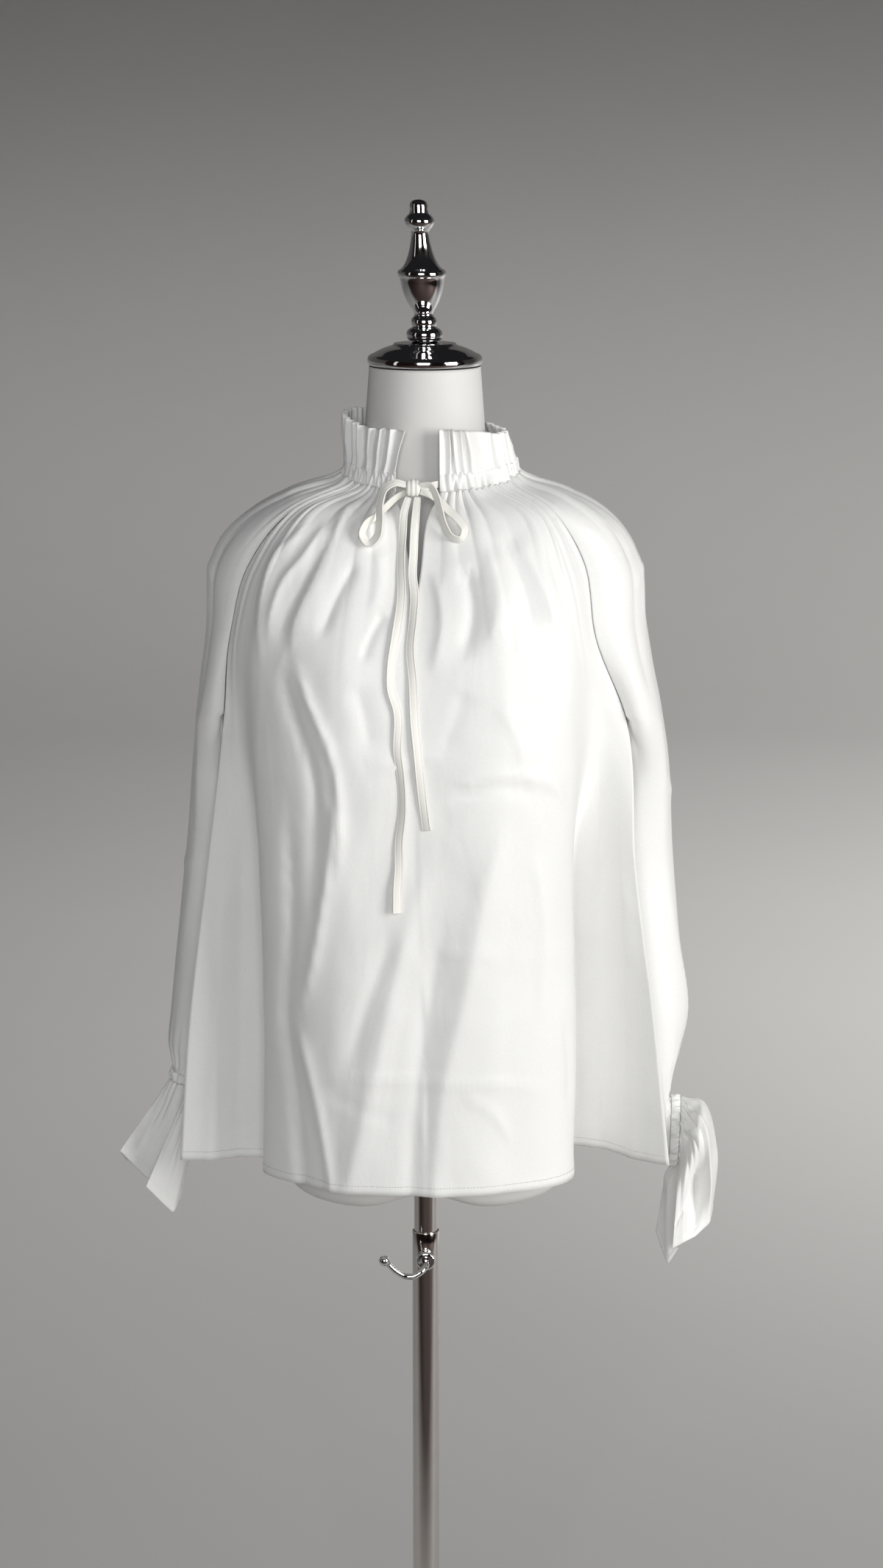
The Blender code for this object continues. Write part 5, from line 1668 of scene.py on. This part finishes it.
    def build(self, wardrobe: Wardrobe, fronts: Sequence[Array], backs: Sequence[Array]) -> None:
        """Makes the sleeve against the panels' edges.

        Args:
            wardrobe: the finishes.
            fronts: the front's halves.
            backs: the back's halves.
        """
        name, hand = f"sleeve_{self.side.word}", self.side.index
        share = np.linspace(0, 1, self.columns + 1)
        grid, underarm = self.plain_grid(share)
        self.sewn(grid, underarm, (fronts[hand], backs[hand]))
        grid += self.relief(grid, share, underarm)
        index = numbered(grid)
        index[underarm:, -1] = index[underarm:, 0]
        points, uv, index = used_only(grid.reshape(-1, 3), cloth_uv(grid).reshape(-1, 2), index)
        sleeve = cloth_piece(name, name, (points, quads(index), uv),
                             (self.side.value * 1.0, 0.0, 1.0), CLOTH, wardrobe.satin)
        declare_sheet(sleeve)


@dataclass
class Neckband:
    """The drawstring casing and the pleated frill that stands on it."""

    casing_columns: int = 900
    casing_thick: float = 0.0024  # as drawn flat by its string
    casing_wall: float = 0.0004
    gather_depth: float = 0.0028
    gather_sizes: tuple = (0.7, 1.3)  # smallest and largest
    gather_lean: float = 0.22  # of a gather's width
    crumple_depth: float = 0.0003
    overlap: float = 0.0006  # of the casing behind the panels and the frill
    frill_pleats: int = 38
    frill_depth: float = 0.0031
    frill_lean: float = 0.0035
    frill_wall: float = 0.0006
    frill_rows: int = 25
    frill_steps: int = 6  # columns between two fold lines
    pleat_sizes: tuple = (0.75, 1.25)
    top_uneven: tuple = (-0.0011, 0.0006)
    top_slip: float = 0.8  # degrees by which a pleat's top is out of place
    waist: float = 0.0008  # by which the frill is drawn in below its middle
    bow: float = 0.0009  # by which a pleat bends in or out halfway up
    sway: float = 0.9  # degrees by which a pleat bends sideways halfway up
    tuck: float = 0.0012  # of the frill over the casing

    def casing(self, wardrobe: Wardrobe) -> None:
        """The casing: a flat tube that is sin(a)^0.6 high and cos(a)^0.3 thick round its section.

        Its lower half follows the gathers of the cloth below it and its upper half the frill's
        folds, with a finer crumple over both.

        Args:
            wardrobe: the finishes.
        """
        share = np.linspace(0, 1, self.casing_columns + 1)
        turns = FRONT_EDGES[1] + (FRONT_EDGES[0] + 360 - FRONT_EDGES[1]) * share
        places = np.interp(turns, *zip(*GATHERS_ROUND_NECK))
        pleats = self.folds()[0]
        pleat = np.interp(turns, pleats, np.arange(len(pleats)))[:, None] * math.pi / 2
        draw = np.random.default_rng(4)
        every = np.arange(places[-1] + 2)
        size = draw.uniform(*self.gather_sizes, len(every))
        size = np.interp(places, every - 0.5, size)[:, None]
        around = full_turn(32)
        half, thick = (CASING_TOP - CASING_BOTTOM) / 2, self.casing_thick / 2
        level = squared_off(np.sin(around), 0.6)[None]
        out = thick * squared_off(np.cos(around), 0.3)[None]
        lean = draw.uniform(-self.gather_lean, self.gather_lean, len(every))
        lean = np.interp(places, every, lean)[:, None]
        place = places[:, None] + lean * (1 + level)
        turn = math.pi * place
        upper = self.gather_depth * (size * np.abs(np.cos(pleat)) ** GATHER_POWER - 0.65)
        lower = GATHER_DEPTH * gather_ridge(place) - 0.0005
        lower = lower + TRUMPET * ramp(-level, 0.1, 1.0)
        ripple = lower + (upper - lower) * ramp(level, -0.5, 1.0)
        fine = self.crumple_depth * np.sin(2.3 * turn + 1.5 * level + 2 * lean / 0.2)
        base = on_ring(turns, CASING_BOTTOM + half)
        radial = on_ring(turns, CASING_BOTTOM + half, 1.0) - base
        face = out - thick + (ripple + fine) * (0.25 + 0.75 * (out > 0))
        rings = base[:, None] + face[..., None] * radial[:, None]
        rings[..., 2] += (half + self.overlap) * level + 0.0004 * np.sin(turn * 0.7 + 1) * level**2
        mesh = rings, quads(numbered(rings, wrap=True)), outer(lengths(base), around * 0.006)
        band = cloth_piece("neck_casing", "neck_casing", mesh, (0.1, -1.0, 1.3),
                           self.casing_wall, wardrobe.satin)
        declare_sheet(band)

    def folds(self) -> tuple:
        """The frill's fold lines.

        Returns:
            Degrees round the neck, 1 for out or -1 for in, and the generator that drew them.
        """
        draw = np.random.default_rng(12)
        first, last = FRILL_RIGHT_FOLDS[-1], FRILL_LEFT_FOLDS[0]
        rest = 2 * self.frill_pleats + 1 - len(FRILL_RIGHT_FOLDS) - len(FRILL_LEFT_FOLDS)
        steps = draw.uniform(0.6, 1.4, rest + 1)
        steps[::2] *= 1.25
        between = first + (last - first) * np.cumsum(steps)[:-1] / steps.sum()
        turns = np.concatenate([FRILL_RIGHT_FOLDS, between, FRILL_LEFT_FOLDS])
        return turns, np.where(np.arange(len(turns)) % 2, -1.0, 1.0), draw

    def frill(self, wardrobe: Wardrobe) -> None:
        """The frill: flat faces between fold lines that stand alternately out and in.

        A fold line stands out by half the frill's depth at its foot and by all of it at its top,
        and leans inwards evenly.

        Args:
            wardrobe: the finishes.
        """
        turns, zigzag, draw = self.folds()
        last, fold = len(turns) - 1, np.arange(len(turns))
        top, swing, shift = smooth(FRILL_TOP[:, 1:], FRILL_TOP[:, 0], turns).T
        top = top + draw.uniform(*self.top_uneven, len(top))
        slip = draw.uniform(-self.top_slip, self.top_slip, len(top))
        slip[0] = slip[-1] = 0.0
        size = draw.uniform(*self.pleat_sizes, len(top))
        even = np.linspace(turns[0], turns[-1], len(turns))
        base = CASING_TOP - self.tuck + NECK_RISE * (1 + np.sin(np.radians(turns))) / 2
        far = np.linspace(0, 1, self.frill_rows)[:, None]
        depth = self.frill_depth * (0.5 + 0.5 * far**0.8) * size
        waist = -self.waist * np.sin(math.pi * np.minimum(1, far * 2.2))
        bow = self.bow * np.sin(math.pi * far) * np.sin(fold * 1.7)
        bend = self.sway * np.sin(math.pi * far) * np.sin(fold // 2 * 2.1)
        place = turns + (even - turns) * 0.2 * (1 - far) + (swing + slip) * far + bend
        knots = on_ring(place, 0.0, depth * zigzag + waist - self.frill_lean * far + bow)
        knots[..., 0] -= shift * far
        knots[..., 2] = base + (top - base) * far
        at = np.linspace(0, last, last * self.frill_steps + 1)
        i = np.minimum(at.astype(int), last - 1)
        w = (at - i)[None, :, None]
        grid = knots[:, i] * (1 - w) + knots[:, i + 1] * w
        grid[:, 1:-1] = (grid[:, :-2] + 2 * grid[:, 1:-1] + grid[:, 2:]) / 4
        uv = np.stack([along_rows(grid), along_columns(grid)], axis=-1)
        frill = cloth_piece("collar_frill", "collar_frill", (grid, quads(numbered(grid)), uv),
                            (1.0, 0.0, 1.33), self.frill_wall, wardrobe.satin)
        declare_sheet(frill)

    def build(self, wardrobe: Wardrobe) -> None:
        """Makes both pieces."""
        self.casing(wardrobe)
        self.frill(wardrobe)


@dataclass
class Cuff:
    """A wrist's gathered casing and the flounce below it.

    The flounce's rows of corners are joined by flat faces; degrees are 0 outwards and -90 to the
    front.
    """

    side: Side
    flounce_cut: tuple
    casing_long: float
    turns: tuple  # the corners' degrees
    corners: Array
    lines: tuple  # the flounce's creases
    casing_high: float = 0.028  # of the cut, which is doubled round the string
    casing_wall: float = 0.0004
    casing_half: float = 0.0012  # of its thickness
    casing_steps: tuple = (400, 20)  # round the wrist and round its own section
    puff: float = 0.0007
    crumples: tuple = (0.0007, 0.0005)  # heights of the coarse and the fine ones
    wall: float = 0.0007
    steps: int = 301  # columns round the flounce
    rows: int = 73
    gather_reach: float = 0.45  # share of the flounce over which the gathers open
    girth: float = 0.22  # over which the creases are drawn, with 0 outermost
    crease_strength: float = 1.3

    def casing(self, wardrobe: Wardrobe) -> None:
        """The wrist casing: a short puffed tube with the sleeve's gathers and finer crumples.

        Round its section it is sin(a)^0.6 high and cos(a)^0.25 thick, and it puffs out by a half
        sine wave of its height.

        Args:
            wardrobe: the finishes.
        """
        side, name = self.side, f"wrist_casing_{self.side.word}"
        arm, wrist = ARMS[side.index][-1], WRISTS[side.index]
        gap = WRIST_LAND + SEAM_GAP
        top, low = np.array(shifted(arm, wrist, gap)), np.array(shifted(wrist, arm, gap))
        share = np.linspace(0, 1, self.casing_steps[0], endpoint=False)
        around = full_turn(self.casing_steps[1])
        turn, degrees = 2 * math.pi * share, 360 * share
        ripple = WRIST_DEPTH * (wrist_ridge(degrees, side.index) - 0.5)
        fine = 2.5 * np.sin(5 * turn)
        rings = []
        for level, out in zip(0.5 - 0.5 * squared_off(np.sin(around), 0.6),
                              self.casing_half * squared_off(np.cos(around), 0.25)):
            puff = ripple * (0.4 + 0.6 * (out > 0)) - self.casing_half
            puff = puff + self.puff * math.sin(math.pi * level) + (out > 0) * (
                self.crumples[0] * np.sin(19 * turn + 3 * level + fine)
                + self.crumples[1] * np.sin(43 * turn - 5 * level))
            size = Ring(*(top * (1 - level) + low * level))
            rings.append(ring_points(size, side, degrees, puff + out))
        rings = np.stack(rings, axis=1)
        index = numbered(rings, wrap=True)
        index = np.concatenate([index, index[:1]])
        uv = outer(share * 0.12, around * 0.004)
        outside = (side.value * 1.0, 0.03, rings[..., 2].mean())
        band = cloth_piece(name, name, (rings, quads(index), uv), outside, self.casing_wall,
                           wardrobe.satin)
        declare_sheet(band)

    def plain_rows(self, degrees: Array) -> Array:
        """The flounce's rows of points: the wrist, then each row of corners, softly rounded.

        Args:
            degrees: places round the wrist.

        Returns:
            Points as rows, places, coordinates.
        """
        rows = [ring_points(WRISTS[self.side.index], self.side, degrees)]
        for corners in self.corners:
            row = np.stack([np.interp(degrees, self.turns, axis) for axis in corners.T], axis=-1)
            for _ in range(2):
                around = np.concatenate([row[-3:-1], row, row[1:3]])
                row = sum(weight * around[i:i + self.steps]
                          for i, weight in enumerate((0.1, 0.2, 0.4, 0.2, 0.1)))
            rows.append(row * (self.side.value, 1, 1))
        return np.array(rows)

    def flounce(self, wardrobe: Wardrobe) -> None:
        """The flounce: gathers at the wrist that open into flat-sided folds down to its hem.

        Args:
            wardrobe: the finishes.
        """
        side, wrist = self.side, WRISTS[self.side.index]
        degrees = ARM_START + 360 * np.linspace(0, 1, self.steps)
        rows = self.plain_rows(degrees)
        down = row_distances(rows)
        at = np.linspace(0, down[-1], self.rows)
        close = WRIST_DEPTH * (wrist_ridge(degrees, side.index) - 0.5)
        close = close * bell((at / at[-1])[:, None], self.gather_reach, 1.4)
        radial = ring_points(wrist, side, degrees, 1.0) - rows[0]
        top = ring_points(shifted(wrist, ARMS[side.index][-1], WRIST_LAND), side, degrees)
        grid = np.concatenate([top[None], smooth(rows, down, at) + close[..., None] * radial])
        grid[:, -1] = grid[:, 0]
        outer_side = slice(self.steps // 4, self.steps // 4 * 3)
        normal = normals_of(grid)
        outward = outward_normals(grid[:, outer_side], (side.value, 0.0, 0.0))
        normal = normal * np.sign((normal[:, outer_side] * outward).sum())
        around = (np.mod(degrees + 180, 360) - 180) / 360 * self.girth
        drop = along_columns(grid)
        relief = crease_relief(np.stack([around + 0 * drop, drop], axis=-1), self.lines,
                               self.crease_strength)
        relief = relief - 0.0004 * bell(drop[-1] - drop - 0.0075, 0.0011)
        grid = grid + relief[..., None] * normal
        grid[:, -1] = grid[:, 0]
        mesh = grid[:, :-1], quads(numbered(grid[:, :-1], wrap=True)), cloth_uv(grid)[:, :-1]
        flounce = cloth_piece(f"cuff_{side.word}", f"cuff_frill_{side.word}", mesh,
                              (side.value * 1.0, 0.0, 0.9), self.wall, wardrobe.satin)
        declare_sheet(flounce)

    def build(self, wardrobe: Wardrobe) -> None:
        """Makes both pieces."""
        self.casing(wardrobe)
        self.flounce(wardrobe)


@dataclass
class Tie:
    """The bow at the neck: a knot, two loops, two hanging ends and two runs to the casing."""

    steps: int = 120  # along a loop; a tail has twice as many
    run_steps: int = 24
    knot_half: tuple = (0.0063, 0.0057, 0.0066)
    loop_lean: float = 0.9  # how far a loop's ribbon turns its face to the front
    tail_turns: float = 1.6
    up: tuple = (0.0, 0.0, 1.0)
    sideways: tuple = (1.0, 0.0, 0.0)

    @staticmethod
    def section() -> Array:
        """A flat folded tie's outline, with a stitched groove near each edge."""
        x = np.array([-1, -0.96, -0.78, -0.66, -0.54, -0.2, 0.2, 0.54, 0.66, 0.78, 0.96])
        y = np.array([0, 0.8, 1.0, 0.5, 0.8, 0.85, 0.85, 0.8, 0.5, 1.0, 0.8])
        upper = np.stack([x * (TIE_WIDTH / 2), y * (TIE_THICK / 2)], axis=1)
        return np.concatenate([upper, -upper])

    def ribbon(self, name: str, path: Array, twist: Array, across: Array, ends: tuple) -> Thing:
        """A flat ribbon along a path, narrowed or widened at its two ends.

        Args:
            name: the piece's name.
            path: points of its centre line.
            twist: radians that it turns about the path at each point.
            across: the direction that its width lies near, for each point or for all.
            ends: its width at the first and the last end, as shares of the full width.

        Returns:
            The new object.
        """
        share = np.linspace(0, 1, len(path))
        wide = 1 + (ends[0] - 1) * np.exp(-share * len(path) * 0.09)
        wide = wide + (ends[1] - 1) * np.exp(-(1 - share) * len(path) * 0.12)
        size = np.stack([wide, 1 + 0 * wide], axis=1)
        size[0], size[-1] = size[0] * 0.8, size[-1] * (0.92, 0.7)
        section = self.section()
        rings = swept(path, section, twist, across + 0 * path, size)
        girth = lengths(np.concatenate([section, section[:1]]))[:-1]
        return tube_piece(name, rings, outer(lengths(path), girth))

    @staticmethod
    def even(route: Array, steps: int) -> Array:
        """A route as evenly spaced points on its smooth curve.

        Args:
            route: a few points of the curve.
            steps: how many points are wanted.

        Returns:
            The points.
        """
        at = lengths(route)
        fine = smooth(route, at, np.linspace(0, at[-1], 6 * steps))
        at = lengths(fine)
        return smooth(fine, at, np.linspace(0, at[-1], steps))

    @staticmethod
    def hung(route: Array, front: Array) -> Array:
        """A route of across and up, hanging from the knot and then lying on the front.

        Args:
            route: its points.
            front: the front's left half.

        Returns:
            The points in space.
        """
        centre = front[:, -1]
        order = np.argsort(centre[:, 2])
        lying = np.interp(route[:, 1], centre[order, 2], centre[order, 1]) - TAIL_OUT
        return np.stack([route[:, 0], np.minimum(lying, KNOT[1]), route[:, 1]], axis=1)

    def knot(self, wardrobe: Wardrobe) -> Thing:
        """The knot: a squarish pillow wrapped by the tie, with two soft wraps across it.

        Its outline along x is (1 - |v|^3.2)^(1/3.2) and that of a slice is
        (|cos a|^3 + |sin a|^3)^(-1/3).

        Args:
            wardrobe: the finishes.

        Returns:
            The new object.
        """
        turn = full_turn(48)
        v = np.sin(np.linspace(-0.5, 0.5, 27)[1:-1] * math.pi)
        fat = (1 - np.abs(v) ** 3.2) ** (1 / 3.2)
        radius = (fat * (1 + 0.06 * np.cos(2 * math.pi * 1.5 * v + 0.6)))[:, None]
        c, s = np.cos(turn), np.sin(turn)
        square = (np.abs(c) ** 3 + np.abs(s) ** 3) ** (-1 / 3)
        peak = 1 + 0.22 * bell(turn - 1.9, 0.35)
        half = self.knot_half
        rings = np.stack([KNOT[0] + half[0] * v[:, None] + 0 * c,
                          KNOT[1] + half[1] * radius * square * c,
                          KNOT[2] + half[2] * radius * square * peak * s], axis=-1)
        knot = tube_piece("tie_knot_wrap", rings, outer(v * half[0], turn * 0.007))
        return dress(knot, wardrobe.tie, "bust", ("tie_knot",))

    def build(self, wardrobe: Wardrobe, front: Array) -> None:
        """Makes all pieces of the tie.

        Args:
            wardrobe: the finishes.
            front: the front's left half, which the tails lie on.
        """
        def piece(kind: str, word: str, path: Array, twist: Array, across: Array,
                  ends: tuple) -> Thing:
            """A ribbon with its finish; its arguments are those of ribbon."""
            made = self.ribbon(f"tie_{kind}_cloth_{word}", path, twist, across, ends)
            return dress(made, wardrobe.tie, "bust", (f"tie_{kind}_{word}",))

        sewn = [self.knot(wardrobe)]
        for word, route in (("left", RUN_LEFT), ("right", RUN_RIGHT)):
            path = self.even(route, self.run_steps)
            sewn.append(piece("run", word, path, 0 * path[:, 0], self.up, (0.8, 0.6)))
        for word, route in (("left", LOOP_LEFT), ("right", LOOP_RIGHT)):
            path = self.even(route, self.steps)
            across = np.cross(np.gradient(path, axis=0), (0.0, -1.0, 0.0))
            across[:, 1] += self.loop_lean * np.linalg.norm(across, axis=1)
            loop = piece("loop", word, path, 0 * path[:, 0], across, (0.75, 0.75))
            self.declare(loop, path, "object", ())
        for word, route, sway in (("left", TAIL_LEFT, 0.5), ("right", TAIL_RIGHT, -0.35)):
            path = self.even(self.hung(route, front), 2 * self.steps)
            share = np.linspace(0, 1, len(path))
            twist = sway * np.sin(2 * math.pi * self.tail_turns * share + 0.5)
            twist = twist * ramp(share, 0, 0.15)
            tail = piece("tail", word, path, twist, self.sideways, (0.7, 1.12))
            self.declare(tail, path, "bare", sewn if word == "left" else ())

    @staticmethod
    def declare(thing: Thing, path: Array, far_end: str, with_pieces: Sequence[Thing]) -> None:
        """Does nothing with a ribbon: no cord is declared.

        Args:
            thing: the ribbon; not used.
            path: points of its centre line; not used.
            far_end: what its other end is; not used.
            with_pieces: pieces of the same tie; not used.
        """


# ---------------------------------------------------------------- the stand
@dataclass
class DressForm:
    """The limbless form with its cap and finial."""

    sides: int = 160
    levels: int = 260
    lower_levels: int = 40  # of its rounded underside
    lobe_depth: float = 0.029
    lobe_notch: float = 0.021
    lobe_apart: float = 0.034

    def build(self, wardrobe: Wardrobe) -> None:
        """Makes the form, the cap and the finial.

        The underside is drawn in by sin(s pi / 2) and lies sqrt(1 - that^4) of its depth down,
        less at x = 0, which leaves two lobes.

        Args:
            wardrobe: the finishes.
        """
        angles, foot = full_turn(self.sides), FORM[0, 0]
        scale = np.sin(np.linspace(0.02, 1, self.lower_levels) * math.pi / 2)
        lower = form_ring(np.full(len(scale), foot), angles, scale)
        drop = np.sqrt(np.clip(1 - scale**4, 0, 1))[:, None]
        dip = bell(lower[..., 0], self.lobe_apart)
        lower[..., 2] = foot - drop * (self.lobe_depth - self.lobe_notch * dip)
        heights = np.linspace(foot, FORM[-1, 0], self.levels)
        upper = form_ring(heights, angles, np.ones(len(heights)))
        form = tube_piece("form_body", np.concatenate([lower[:-1], upper]))
        dress(form, wardrobe.skin, "bust", ("dress_form",))
        cap = turned_piece("form_neck_cap", NECK_CAP, 96)
        dress(cap, wardrobe.chrome, "bust", ("neck_cap",))
        finial = turned_piece("form_finial", FINIAL, 72, lean=FINIAL_LEAN)
        dress(finial, wardrobe.chrome, "bust", ("finial",))


@dataclass
class Stand:
    """The base, the telescoping pole and its lock."""

    lower_radius: float = 0.0127
    lower_bore: float = 0.0113
    lower_top: float = 0.591
    bore_bottom: float = 0.250
    upper_radius: float = 0.0110
    upper_bottom: float = 0.310
    upper_top: float = 0.652  # the form's underside
    boss_radius: float = 0.0090
    boss_end: float = -0.0222
    lever_radius: float = 0.0031
    lever_taper: float = 0.16
    lever_wide: tuple = (0.31, 0.17, 0.93)  # the direction that its section is laid out from
    knob_radius: float = 0.0050

    def build(self, wardrobe: Wardrobe) -> None:
        """Makes every part of the stand on the body that it moves with.

        Args:
            wardrobe: the finishes.
        """
        base = turned_piece("stand_base_plate", BASE, 128)
        dress(base, wardrobe.chrome, "stand", ("stand_base",))
        low, wide, bore = BASE_HEIGHT + SEAM_GAP, self.lower_radius, self.lower_bore
        top, floor = self.lower_top, self.bore_bottom
        tube = ((0.0, low), (wide, low), (wide, low + 0.001), (wide, 0.3), (wide, top - 0.0009),
                (wide - 0.0004, top), (bore, top), (bore, top - 0.001), (bore, floor + 0.001),
                (bore, floor), (0.0, floor))
        lower = turned_piece("pole_lower_tube", tube, 64, rounds=2)
        dress(lower, wardrobe.nickel, "stand", ("pole_lower",))
        low, top, wide = self.upper_bottom, self.upper_top - SEAM_GAP, self.upper_radius
        rod = ((0.0, low), (wide, low), (wide, low + 0.002), (wide, 0.5), (wide, top - 0.001),
               (wide, top), (0.0, top))
        upper = turned_piece("pole_upper_tube", rod, 64, rounds=2)
        dress(upper, wardrobe.nickel, "bust", ("pole_upper",))
        self.lock(wardrobe)

    def lock(self, wardrobe: Wardrobe) -> None:
        """Makes the boss, the bent lever and its ball.

        Args:
            wardrobe: the finishes.
        """
        start, wide = -self.lower_radius - SEAM_GAP, self.boss_radius
        long = start - self.boss_end
        line = rounded(((0.0, 0.0), (wide, 0.0), (wide, 0.0012), (wide - 0.0004, 0.0018),
                        (wide, 0.0024), (wide, 0.0072), (0.0078, long), (0.0, long)))[1:-1]
        turn = full_turn(48)
        rings = np.stack([line[:, :1] * np.cos(turn), start - line[:, 1:] + 0 * turn,
                          LOCK_Z + line[:, :1] * np.sin(turn)], axis=-1)
        boss = tube_piece("lock_boss_turned", rings)
        dress(boss, wardrobe.chrome, "stand", ("lock_boss",))
        at = lengths(LEVER)
        path = smooth(LEVER, at, np.linspace(0, at[-1], 60))
        turn = full_turn(24)
        section = self.lever_radius * np.stack([np.cos(turn), np.sin(turn)], axis=1)
        share = np.linspace(0, 1, len(path))
        size = np.repeat(1 - self.lever_taper * share[:, None], 2, axis=1)
        rod = tube_piece("lock_lever_rod", swept(path, section, 0 * share,
                                                 self.lever_wide + 0 * path, size))
        dress(rod, wardrobe.chrome, "lever", ("lock_lever",))
        ball = LEVER[-1] + unit(LEVER[-1] - LEVER[-2]) * (self.knob_radius + SEAM_GAP)
        level = np.linspace(0, math.pi, 26)[1:-1, None]
        turn = full_turn(40)
        knob = tube_piece("lever_ball", ball + self.knob_radius * np.stack([
            np.sin(level) * np.cos(turn), np.sin(level) * np.sin(turn),
            -np.cos(level) + 0 * turn], axis=-1))
        dress(knob, wardrobe.chrome, "lever", ("lever_knob",))


# ---------------------------------------------------------------- the studio
class Lamp(NamedTuple):
    """A soft box: where it stands, what it looks at, its size, power and colour."""

    name: str
    place: tuple
    aim: tuple
    size: tuple
    watts: float
    colour: tuple


@dataclass
class Studio:
    """The plain paper floor, the soft light and the camera."""

    camera_place: tuple = (0.0147, -2.974, 1.65)
    tilt: float = 12.0  # degrees below level
    lens: float = 76.66
    flat_radius: float = 5.5
    bend_radius: float = 3.2
    wall_height: float = 6.5
    floor_gap: float = 0.0004
    room_light: tuple = (0.092, 0.092, 0.095)
    room_mirrored: tuple = (0.012, 0.012, 0.013)
    lamps: tuple = (
        Lamp("key_softbox", (3.3, -2.3, 1.9), (0.0, 0.0, 1.0), (1.8, 2.4), 125.0,
             (1.0, 0.995, 0.98)),
        Lamp("fill_softbox", (-0.2, -4.7, 2.4), (0.0, 0.0, 1.0), (2.0, 2.0), 82.0,
             (0.97, 0.985, 1.0)),
        Lamp("paper_softbox", (2.6, 2.2, 3.2), (0.8, 8.0, 0.2), (2.6, 2.6), 170.0,
             (1.0, 0.995, 0.985)),
        Lamp("edge_softbox", (-2.7, -1.5, 1.9), (0.0, 0.0, 1.45), (0.35, 2.4), 2.0,
             (0.98, 0.99, 1.0)),
    )

    def camera(self) -> None:
        """Places the camera."""
        data = bpy.data.cameras.new("camera")
        data.lens, data.sensor_width = self.lens, 36.0
        data.clip_start, data.clip_end = 0.05, 200.0
        camera = bpy.data.objects.new("camera", data)
        camera.location = self.camera_place
        camera.rotation_euler = Euler((math.radians(90 - self.tilt), 0, 0))
        bpy.context.scene.collection.objects.link(camera)
        bpy.context.scene.camera = camera

    @staticmethod
    def place(lamp: Lamp) -> None:
        """Adds one soft box that looks at its aim.

        Args:
            lamp: the soft box.
        """
        data = bpy.data.lights.new(lamp.name, "AREA")
        data.shape, (data.size, data.size_y) = "RECTANGLE", lamp.size
        data.energy, data.color = lamp.watts, lamp.colour
        made = bpy.data.objects.new(lamp.name, data)
        made.location = lamp.place
        way = np.subtract(lamp.aim, lamp.place)
        made.rotation_euler = Euler((math.atan2(math.hypot(way[0], way[1]), -way[2]), 0,
                                     math.atan2(way[1], way[0]) - math.pi / 2))
        bpy.context.scene.collection.objects.link(made)

    def surroundings(self) -> None:
        """Gives the room a dim grey light, and near darkness for polished metal to mirror."""
        world = bpy.data.worlds.new("studio_room")
        bpy.context.scene.world = world
        world.use_nodes = True
        build = NodeTree(world.node_tree)
        glossy = build.add("LightPath").outputs["Is Glossy Ray"]
        build.put(world.node_tree.nodes["Background"], {
            "Color": build.mix(glossy, rgba(self.room_light), rgba(self.room_mirrored)),
            "Strength": 1.0})

    def paper(self, wardrobe: Wardrobe) -> None:
        """A round paper floor that curves up into a wall all round: (r cos a, r sin a, z).

        Args:
            wardrobe: the finishes.
        """
        bend = np.radians(np.linspace(0, 90, 13))
        curve = np.stack([self.flat_radius + self.bend_radius * np.sin(bend),
                          self.bend_radius * (1 - np.cos(bend))], axis=1)
        flat = [(0.5, 0.0), (1.5, 0.0), (3.0, 0.0), (4.5, 0.0)]
        wall = [(self.flat_radius + self.bend_radius, self.wall_height)]
        line = np.concatenate([flat, curve, wall]) - (0.0, self.floor_gap)
        turn = full_turn(96)
        grid = np.stack([line[:, :1] * np.cos(turn), line[:, :1] * np.sin(turn),
                         line[:, 1:] + 0 * turn], axis=-1)
        index = numbered(grid, wrap=True)
        centre = np.full(len(turn), grid[..., 0].size)
        fan = np.stack([centre, index[0, :-1], index[0, 1:]], axis=1)
        points = np.concatenate([grid.reshape(-1, 3), [[0, 0, -self.floor_gap]]])
        floor = make_piece("studio_floor", points, quads(index).tolist() + fan.tolist())
        face_towards(floor, (0.0, 0.0, 1.5))
        floor.data.materials.append(wardrobe.floor)

    def build(self, wardrobe: Wardrobe) -> None:
        """Makes the paper, the lights and the room.

        Args:
            wardrobe: the finishes.
        """
        self.paper(wardrobe)
        for lamp in self.lamps:
            self.place(lamp)
        self.surroundings()
        bpy.context.scene.view_settings.view_transform = "Standard"


def main() -> None:
    """Loads the frame and makes every piece."""
    logging.basicConfig(level=logging.INFO, format="%(name)s: %(message)s")
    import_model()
    studio = Studio()
    studio.camera()
    wardrobe = Wardrobe()
    fronts, backs = Panels().build(wardrobe)
    Tie().build(wardrobe, fronts[0])
    for side, cut, share in ((Side.LEFT, (0.36, 0.62), 0.55), (Side.RIGHT, (0.36, 0.66), 0.60)):
        Sleeve(side, cut, share).build(wardrobe, fronts, backs)
    Neckband().build(wardrobe)
    for cuff in (Cuff(Side.LEFT, (0.25, 0.088), 0.085, LEFT_TURNS, LEFT_CORNERS,
                      LEFT_CUFF_CREASES),
                 Cuff(Side.RIGHT, (0.25, 0.095), 0.105, RIGHT_TURNS, RIGHT_CORNERS,
                      RIGHT_CUFF_CREASES)):
        cuff.build(wardrobe)
    DressForm().build(wardrobe)
    Stand().build(wardrobe)
    studio.build(wardrobe)


if __name__ == "__main__":
    main()
